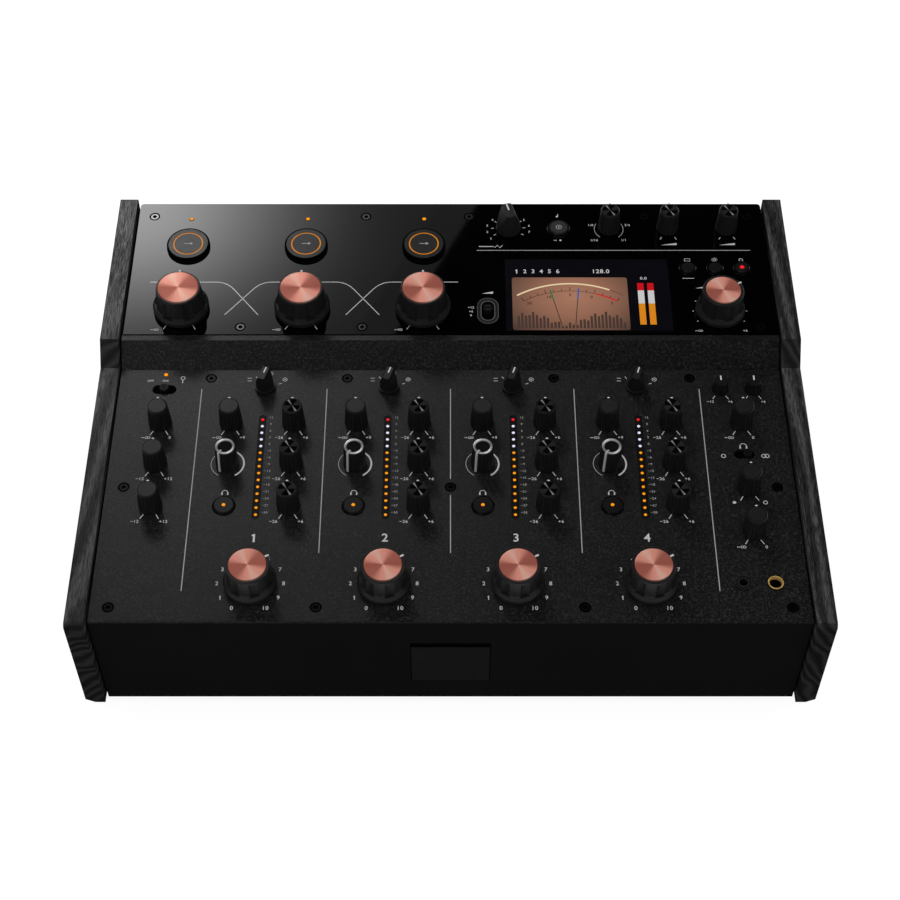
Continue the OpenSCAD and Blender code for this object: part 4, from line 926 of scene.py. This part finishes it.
class UpperMarks:
    """Figures, strokes and signs printed on the glossy panel."""

    LEVEL = GLOSS_N + FILM
    BAND_LINE_S = 218.8

    def __init__(self) -> None:
        """Opens one sketch for each ink."""
        self.ink = Sketch(self.LEVEL)
        self.grey = Sketch(self.LEVEL)
        self.white = Sketch(self.LEVEL)

    def build(self) -> None:
        """Prints all marks of the glossy panel."""
        self.crossover()
        bands = [(x, BAND_S) for x in BANDS.values()]
        for x, s in bands:
            self.ink.words("−∞", (x - 13.1, s - 15.5), 1.7)
        Strokes(16.1, 3.0, 0.36, -150.0, 300.0, 2).lay("band_knob_strokes", bands, self.LEVEL)
        Strokes(8.3, 2.0, 0.4, -150.0, 300.0, 2).lay("top_row_strokes", [PARAMETER, RETURN], self.LEVEL)
        dots = Lenses(14.7, width=0.42, start=-120.0, step=30.0, count=9)
        dots.lay("master_scale_dots", [MASTER], self.LEVEL - 0.1)
        self.effects()
        self.master()
        self.ink.lay("glossy_panel_figures", INK)
        self.grey.lay("glossy_panel_rules", GREY_INK)
        self.white.lay("crossover_lines", REVERSE_INK)

    def crossover(self) -> None:
        """Prints the line of the three bands, with its crossing slopes."""
        bend = ((-15.7, self.BAND_LINE_S), (-9.5, self.BAND_LINE_S), (-5.2, 213.2))
        for x in (-114.9, -48.3):
            for side in (-1, 1):
                spots = []
                for i in range(11):
                    t = i / 10
                    away, s = (sum(w * spot[axis] for w, spot in zip(((1 - t) ** 2, 2 * t * (1 - t), t * t), bend))
                               for axis in (0, 1))
                    spots.append((x - side * away, s))
                far = (x - side * 9.2, 194.6)
                self.white.path([*spots, far] if side < 0 else [far, *spots[::-1]], 0.5)
        for low, high in ((-167.35, -130.6), (-99.2, -64.0), (-32.6, 4.2)):
            self.white.stroke((low, self.BAND_LINE_S), (high, self.BAND_LINE_S), 0.5)

    def wedge(self, left: float, right: float, low: float, high: float) -> None:
        """Prints a level sign, which rises to the right."""
        self.ink.polygon([(left, low), (right, low), (right, high)])

    def effects(self) -> None:
        """Prints the effect selector, tap, beat and level figures."""
        self.grey.stroke((14.8, 242.9), (169.3, 242.9), 0.45)
        self.ink.stroke((16.0, 245.9), (24.5, 245.9), 0.5)
        self.ink.path([(25.0, 245.0), (26.5, 246.8), (28.0, 245.0), (29.5, 246.8)], 0.4)
        for i, spot in enumerate(((23.0, 252.0), (21.0, 257.2), (21.0, 262.0), (24.0, 266.6), (42.0, 266.6),
                                  (44.8, 262.0), (44.8, 257.2))):
            self.ink.words(str(i + 1), spot, 1.6)
        Strokes(9.0, 1.6, 0.4, -120.0, 34.0, 8).lay("effect_selector_strokes", [EFFECT], self.LEVEL)
        for text, x, s in (("1/8", 80.0, 262.5), ("3/4", 100.9, 262.5), ("1/16", 81.5, 250.7), ("1/1", 98.3, 250.7)):
            self.ink.words(text, (x, s), 1.6)
        for start, end in ((-140.0, -60.0), (60.0, 140.0)):
            self.grey.arc(BEAT, 8.2, 0.35, start, end)
        self.ink.disc((61.0, 269.3), 0.6).stroke((61.5, 269.3), (61.5, 271.3), 0.35)
        self.ink.stroke((58.6, 250.7), (60.4, 250.7), 0.35).disc((62.4, 250.7), 0.6)
        for x in (123.6, 156.6):
            self.wedge(x - 4.5, x + 4.5, 247.0, 248.6)

    def master(self) -> None:
        """Prints the master, booster and function figures."""
        self.ink.words("−∞", (135.9, 183.1), 1.6).words("+6", (160.8, 183.1), 1.6)
        self.wedge(136.0, 142.0, 214.2, 215.6)
        for figure, s in (("+12", 199.9), ("+6", 197.0), ("0", 194.2)):
            self.ink.words(figure, (11.3, s), 1.5)
        self.wedge(17.4, 23.6, 210.2, 211.8)
        self.ink.path([(131.6, 234.7), (134.6, 234.7), (134.6, 236.5), (131.6, 236.5), (131.6, 234.7)], 0.3)
        sun = (148.4, 235.6)
        self.ink.ring(sun, 0.8, 0.3)
        for i in range(8):
            self.ink.stroke(turned(1.3, 45.0 * i, sun), turned(1.8, 45.0 * i, sun), 0.3)
        self.ink.arc((163.3, 235.6), 1.0, 0.35, -140.0, 140.0)
        self.ink.stroke((129.4, 221.6), (136.0, 221.6), 0.35)


# ---- lamps, screen, jacks ---------------------------------------------------
class Lamps:
    """Lenses that are lit."""

    def build(self) -> None:
        """Sets the meter lamps, the single lamps and the send buttons' rings."""
        for name, places, finish in (("red", range(14, 15), RED_LAMP), ("white", range(10, 14), WHITE_LAMP),
                                     ("orange", range(10), ORANGE_LAMP)):
            spots = [(x, METER_S + (i - 7) * METER_STEP) for x in CHANNELS.values() for i in places]
            Lenses(width=0.84).lay(f"meter_lamps_{name}", spots, DECK_N - 0.1, finish, "indicator_lights")
        small = Lenses(width=1.2)
        small.lay("talk_lamp", [(-OUTER_X, 161.2)], DECK_N + 0.05, ORANGE_LAMP, "indicator_lights")
        small.lay("send_lamps", [(x, 267.3) for x in BANDS.values()], GLOSS_N + 0.05, ORANGE_LAMP, "indicator_lights")
        cues = [(middle - COLUMN, ROWS[2]) for middle in CHANNELS.values()]
        Lenses(width=1.0).lay("cue_lamps", cues, DECK_N + 1.1, ORANGE_LAMP)
        Lenses(width=1.3).lay("insert_lamp", [(FUNCTION_X[2], FUNCTION_S)], GLOSS_N + 1.1, RED_LAMP)
        for name, x in BANDS.items():
            self.send(name, x)

    @staticmethod
    def send(name: str, x: float) -> None:
        """Sets the light ring, the dark rim and the arrow of one send button."""
        body = f"send_button_{name}"
        Sketch(GLOSS_N + 2.48).ring((x, SEND_S), 8.1, 0.66).lay(f"send_ring_{name}", ORANGE_RING, body=body)
        turned_piece(f"send_rim_{name}", [(12.09, 0.4), (12.09, 2.1), (11.85, 2.5), (11.5, 2.64), (11.05, 2.63)],
                     (x, SEND_S), GLOSS_N, MATT_BLACK_AND_SHADE, body=body, steps=96)
        sign = Sketch(GLOSS_N + 2.62).stroke((x - 2.4, SEND_S), (x + 1.4, SEND_S), 0.45)
        sign.polygon([(x + 1.2, SEND_S - 1.1), (x + 2.8, SEND_S), (x + 1.2, SEND_S + 1.1)])
        sign.lay(f"send_sign_{name}", GREY_INK, body=body)


class Screen:
    """Lit picture of the display: a needle meter and two level columns."""

    LEVEL = GLOSS_N - 0.03
    LEFT, RIGHT, LOW, HIGH = 34.2, 98.4, 183.6, 222.3
    HUB = ((LEFT + RIGHT) / 2, LOW - 20.0)
    SCALE_R = 48.6
    BROWN = LitField("screen_copper_field", (68.0, 208.0), (46.0, 34.0), (
        (0.0, "#cf9478"), (0.45, "#b37e66"), (0.8, "#805e4e"), (1.0, "#5c443a")))
    PALE = LitLens("screen_pale_line", "#f2d9ae", 0.8)
    DUSK = LitLens("screen_brown_shade", "#5d4840", 0.5)
    WHITE = LitLens("screen_white", "#dcdcdc", 0.7)
    RED = LitLens("screen_red", "#d0101c", 0.8)
    AMBER = LitLens("screen_amber", "#e08a1c", 0.8)
    LINE = LitLens("screen_dark_line", "#33241f", 0.2)

    def build(self) -> None:
        """Lays the picture in thin films, each a little above the one before."""
        Sketch(self.LEVEL).polygon(self.rounded(1.4)).lay("screen_field", self.BROWN, "display_module")
        self.face()
        for name, low, high, finish in (("amber", 187.6, 203.0, self.AMBER), ("white", 203.0, 212.6, self.WHITE),
                                        ("red", 212.6, 218.1, self.RED)):
            columns = Sketch(self.LEVEL).plate(103.9, 107.4, low, high).plate(109.4, 112.9, low, high)
            columns.lay(f"screen_columns_{name}", finish, "display_module")
        text = Sketch(self.LEVEL).words("128.0", (84.0, 226.8), 2.9).words("0.0", (107.6, 221.6), 2.0)
        for i in range(6):
            text.words(str(i + 1), (37.0 + 4.6 * i, 226.8), 2.9)
        text.lay("screen_figures", self.WHITE, "display_module")

    def rounded(self, radius: float) -> list[Spot]:
        """Corners of the field with rounded ends, counter-clockwise."""
        left, right, low, high = self.LEFT + radius, self.RIGHT - radius, self.LOW + radius, self.HIGH - radius
        centres = (right, low), (right, high), (left, high), (left, low)
        return [turned(radius, start - 22.5 * i, centre)
                for centre, start in zip(centres, (180.0, 90.0, 0.0, -90.0)) for i in range(5)]

    def face(self) -> None:
        """Draws the dial, its scale, its needles and the spectrum bars."""
        pale, line, shade, red = (Sketch(self.LEVEL + lift) for lift in (0.009, 0.009, 0.003, 0.009))
        foot = self.LOW + 1.2
        for i in range(30):
            x = self.LEFT + 2.6 + 2.0 * i
            shade.plate(x, x + 1.3, foot, foot + 6.5 + 4.0 * math.sin(0.31 * i + 0.6) + 1.6 * math.sin(1.9 * i))
        pale.arc(self.HUB, 54.0, 1.0, -33.0, 24.0, 40)
        line.arc(self.HUB, 54.0, 0.25, 24.0, 33.0).arc(self.HUB, self.SCALE_R, 0.28, -32.0, 16.0, 40)
        red.arc(self.HUB, self.SCALE_R, 0.8, 17.0, 32.0)
        for i in range(13):
            angle = -32.0 + 64.0 * i / 12
            line.stroke(turned(self.SCALE_R, angle, self.HUB), turned(50.2 if i % 3 else 51.4, angle, self.HUB), 0.34)
        for i, figure in enumerate(("20", "10", "5", "0", "3")):
            line.words(figure, turned(45.6, -30.0 + 15.0 * i, self.HUB), 1.9)
        line.level += 0.003  # needles lie over the scale
        for name, angle, code in (("green", -12.5, "#2f7d4f"), ("blue", 5.5, "#3e66b4")):
            near, neck, tip = (turned(reach, angle, self.HUB) for reach in (24.0, 43.0, 50.8))
            line.stroke(near, neck, 0.38)
            Sketch(self.LEVEL + 0.014).stroke(neck, tip, 0.85).lay(
                f"screen_needle_{name}", LitLens(f"screen_{name}", code, 0.7), "display_module")
        for name, sketch, finish in (("scale_arc", pale, self.PALE), ("scale_lines", line, self.LINE),
                                     ("spectrum_bars", shade, self.DUSK), ("scale_red", red, self.RED)):
            sketch.lay(f"screen_{name}", finish, "display_module")


class Trim:
    """Small finished parts of the decks: jack rims, slides, collars, screw faces and the blank plate."""

    SLIDES = (("talk", -OUTER_X, 151.0, DECK_N - 1.95, 8.0, 4.4), ("mono", OUTER_X, 107.3, DECK_N - 1.95, 8.0, 4.4),
              ("boost", *BOOST, GLOSS_N - 3.2, 3.3, 6.5))
    LOWER_SCREWS = [(side * x, s) for side in (-1, 1) for x, s in (
        (169.5, 12.5), (66.7, 12.5), (169.5, 86.0), (129.6, 158.8), (55.9, 158.8))] + [(0.0, 86.0)]
    UPPER_SCREWS = [(x, 269.3) for x in (-169.5, -48.3, 10.7, 110.9, 169.5)] + [
        (x, 185.9) for x in (-114.8, -48.3, 169.5)]
    FRONT_S = 3.5  # of the front wall

    def build(self) -> None:
        """Seats all of them."""
        self.jacks()
        for name, x, s, level, wide, high in self.SLIDES:
            Sketch(level).plate(x - wide, x + wide, s - high, s + high).lay(f"dust_slide_{name}", MATT_BLACK_AND_SHADE)
        self.collars()
        self.tap_and_boost()
        self.screws("lower", self.LOWER_SCREWS, DECK_N, DULL_SCREW_FACE)
        self.screws("upper", self.UPPER_SCREWS, GLOSS_N, SCREW_FACE)
        # A black plate behind the badge shows above it as a band of painted shade in the recess.
        self.front_plate("front_plate_recess_shade", 20.3, -21.8, 0.02, MATT_BLACK_AND_SHADE)
        self.front_plate("front_plate", 19.85, -25.4, 0.45, BADGE_BLANK)

    @staticmethod
    def jacks() -> None:
        """Seats the rims of the two phones jacks, and painted highlight lines on the small jack's edges."""
        turned_piece("large_jack_rim", [(3.1, -1.5), (4.05, 0.1), (4.0, 0.6), (3.7, 0.85), (3.3, 0.7), (3.12, 0.3),
                                        (3.1, -1.5)], LARGE_JACK, DECK_N, GOLD, steps=48)
        turned_piece("small_jack_rim", [(1.85, -1.0), (4.3, 0.1), (4.2, 0.55), (3.3, 0.7), (2.1, 0.5), (1.85, -1.0)],
                     SMALL_JACK, DECK_N, SOCKET_PLASTIC, steps=40)
        # grey rings of painted highlight on the small jack's edges
        Sketch(DECK_N + 0.74).ring(SMALL_JACK, 4.1, 0.2).ring(SMALL_JACK, 2.7, 0.3).lay(
            "small_jack_edge_highlights", JACK_EDGE_HIGHLIGHT, "sockets")

    @staticmethod
    def collars() -> None:
        """Sets a thin polished collar round each push button."""
        rings = [(f"cue_collar_{n}", (x - COLUMN, ROWS[2]), DECK_N, 5.35, 0.75) for n, x in CHANNELS.items()]
        rings += [(f"function_collar_{i}", (x, FUNCTION_S), GLOSS_N, 3.95, 1.3) for i, x in enumerate(FUNCTION_X)]
        rings.append(("tap_collar", TAP, GLOSS_N, 5.9, 1.0))
        for name, spot, level, inner, wide in rings:
            outer = inner + wide
            turned_piece(name, [(outer, 0.01), (outer - 0.12, 0.45), (outer - 0.4, 0.62), (inner + 0.12, 0.5),
                                (inner, 0.01)], spot, level, BEZEL_PLASTIC, steps=60)

    @staticmethod
    def tap_and_boost() -> None:
        """Lays the tap button's face and sign, and painted highlight lines on the two lips of the boost bezel."""
        Sketch(GLOSS_N + 1.62).disc(TAP, 4.7, 48).lay("tap_face", TAP_GREY)
        Sketch(GLOSS_N + 1.64).ring(TAP, 1.5, 0.35).disc(TAP, 0.5).lay("tap_sign", GREY_INK)
        # painted highlight lines along the bezel's lips
        Sketch(GLOSS_N + 0.62).slot(BOOST, 11.4, 18.4, 0.35).slot(BOOST, 7.6, 14.1, 0.6).lay(
            "boost_bezel_lip_highlights", BEZEL_EDGE_HIGHLIGHT)

    @staticmethod
    def screws(name: str, spots: Sequence[Spot], level: float, finish: Finish) -> None:
        """Lays a ring of painted shade round the countersink and a worn face on each screw head of one deck."""
        shade_rings, face = Sketch(level + 0.015), Sketch(level - 0.05)
        for spot in spots:
            # black ring of painted shade in the countersink round the head
            shade_rings.ring(spot, 2.6, 0.84)
            face.ring(spot, 1.68, 0.98)
        shade_rings.lay(f"screw_shade_rings_{name}", MATT_BLACK_AND_SHADE, "screws")
        face.lay(f"screw_faces_{name}", finish, "screws")

    def front_plate(self, name: str, half: float, top: float, proud: float, finish: Finish) -> None:
        """Seats a flat plate on the front wall, half as wide as given, that stands out by proud."""
        low = -57.7
        plate = cuboid((2 * half, proud, top - low), proud * 0.3, (0.0, self.FRONT_S - proud / 2, low))
        seat(name, plate, Matrix(), finish)


# ---- studio -----------------------------------------------------------------
class Studio:
    """Pale sweep, soft lamps and camera."""

    BOX_GLOW, SPOT_GLOW, FILL_GLOW = 0.24, 6.9, 0.8

    def build(self) -> None:
        """Builds the whole studio."""
        self.world()
        self.floor()
        self.lamps()
        self.camera()

    @staticmethod
    def world() -> None:
        """White to the camera and near the horizon; a dim ceiling in reflections; even light elsewhere."""
        world = bpy.context.scene.world = bpy.data.worlds.new("studio_air")
        net = Net.inside(world)
        path = net.outputs("ShaderNodeLightPath")
        direction = net.put("ShaderNodeTexCoord", out="Generated")
        height = net.put("ShaderNodeSeparateXYZ", {"Vector": direction}, "Z")
        dome = net.ramp(height, [(0.0, "#ffffff"), (0.03, "#808080"), (0.1, "#101010"), (1.0, "#060606")])
        even, shiny, white = (net.put("ShaderNodeBackground", {"Color": colour, "Strength": strength})
                              for colour, strength in (("#ffffff", 0.62), (dome, 1.0), ("#ffffff", 1.0)))
        mirrored = net.math("MAXIMUM", path["Is Glossy Ray"], path["Is Transmission Ray"])
        indoors = net.put("ShaderNodeMixShader", {0: mirrored, 1: even, 2: shiny})
        net.outputs("ShaderNodeOutputWorld", {
            "Surface": net.put("ShaderNodeMixShader", {0: path["Is Camera Ray"], 1: indoors, 2: white})})

    @staticmethod
    def floor() -> None:
        """A white floor that keeps the shadow."""
        data = bpy.data.meshes.new("studio_floor")
        data.from_pydata([(-6, -6, 0), (6, -6, 0), (6, 6, 0), (-6, 6, 0)], [], [(0, 1, 2, 3)])
        floor = bpy.data.objects.new("studio_floor", data)
        bpy.context.scene.collection.objects.link(floor)
        made = bpy.data.materials.new("white_sweep")
        net = Net.inside(made)
        path = net.outputs("ShaderNodeLightPath")
        seen = net.math("MAXIMUM", path["Is Camera Ray"], path["Is Glossy Ray"])
        seen = net.math("MAXIMUM", seen, path["Is Transmission Ray"])
        matt = net.put("ShaderNodeBsdfDiffuse", {"Color": "#9a9a9a"})
        glow = net.put("ShaderNodeEmission", {"Color": "#ffffff", "Strength": 0.88})
        both = net.put("ShaderNodeAddShader", {0: matt, 1: glow})
        mixed = net.put("ShaderNodeMixShader", {0: seen, 1: matt, 2: both})
        net.outputs("ShaderNodeOutputMaterial", {"Surface": mixed})
        data.materials.append(made)

    @staticmethod
    def lamp(name: str, centre: Vector, along: Vector, facing: Vector, size: Spot, glow: float,
             hot_spot: float = 0.0) -> None:
        """Hangs a soft box.

        Args:
            name: name of the lamp.
            centre: its middle in metres.
            along: direction of its longer side.
            facing: direction that it shines in.
            size: width and length in metres.
            glow: brightness of its face, where 1 is a white card in plain light.
            hot_spot: radius in metres at which a round fade falls to 0.6, or 0 for an even face.
        """
        data = bpy.data.lights.new(name, "AREA")
        data.shape = "RECTANGLE"
        data.size, data.size_y = size
        data.energy = glow * math.pi * size[0] * size[1]
        z = -facing.normalized()
        y = (along - along.dot(z) * z).normalized()
        lamp = bpy.data.objects.new(name, data)
        lamp.matrix_world = Matrix.Translation(centre) @ Matrix((y.cross(z), y, z)).transposed().to_4x4()
        lamp.visible_camera = False
        bpy.context.scene.collection.objects.link(lamp)
        if hot_spot:
            net = Net.inside(data)
            spread = net.put("ShaderNodeNewGeometry", out="Parametric")
            away = net.vector("MULTIPLY", net.vector("SUBTRACT", spread, (0.5, 0.5, 0.0)), (*size, 0.0))
            reach = net.vector("DOT_PRODUCT", away, away, out="Value")
            fade = net.math("EXPONENT", net.math("MULTIPLY", reach, -0.5 / hot_spot ** 2))
            net.outputs("ShaderNodeOutputLight", {"Surface": net.put("ShaderNodeEmission", {"Strength": fade})})

    def lamps(self) -> None:
        """Hangs the rear left soft box, whose slanting edge the panel mirrors, its hot spot and a weak fill."""
        turn = TO_FRAME.to_3x3().normalized()
        down = turn @ Vector((0.0, 0.0, -1.0))
        along = turn @ Vector((0.4219, 0.9067, 0.0))
        edge_mid = Vector((-15.0, 1063.0, GLOSS_N + 900.0))
        box = edge_mid + Vector((-0.9067, 0.4219, 0.0)) * 500.0
        spot = Vector((-400.0, 1165.0, GLOSS_N + 899.0))
        self.lamp("rear_left_soft_box", TO_FRAME @ box, along, down, (1.0, 0.9), self.BOX_GLOW)
        self.lamp("rear_left_hot_spot", TO_FRAME @ spot, along, down, (0.7, 0.7), self.SPOT_GLOW, 0.115)
        middle, front = Vector((0.0, 0.0, 0.08)), Vector((-0.9, -1.5, 1.9))
        self.lamp("front_fill", front, Vector((1, 0, 0)), middle - front, (1.2, 0.8), self.FILL_GLOW)

    @staticmethod
    def camera() -> None:
        """Places the camera."""
        data = bpy.data.cameras.new("mixer_camera")
        data.sensor_width = 36.0
        data.lens = 74.1
        data.clip_end = 30.0
        camera = bpy.data.objects.new("mixer_camera", data)
        camera.location = (-0.00025, -0.6910, 0.8139)
        camera.rotation_euler = (math.radians(42.07), 0.0, 0.0)
        bpy.context.scene.collection.objects.link(camera)
        bpy.context.scene.camera = camera


def main() -> None:
    """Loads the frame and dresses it."""
    logging.basicConfig(level=logging.INFO, format="%(name)s: %(message)s")
    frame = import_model()
    bpy.context.scene.view_settings.view_transform = "Standard"
    Studio().build()
    Carcass().dress(frame["nodes"])
    build_knobs()
    build_channel_knobs()
    for group in (LowerMarks(), UpperMarks(), Lamps(), Screen(), Trim()):
        group.build()


if __name__ == "__main__":
    main()
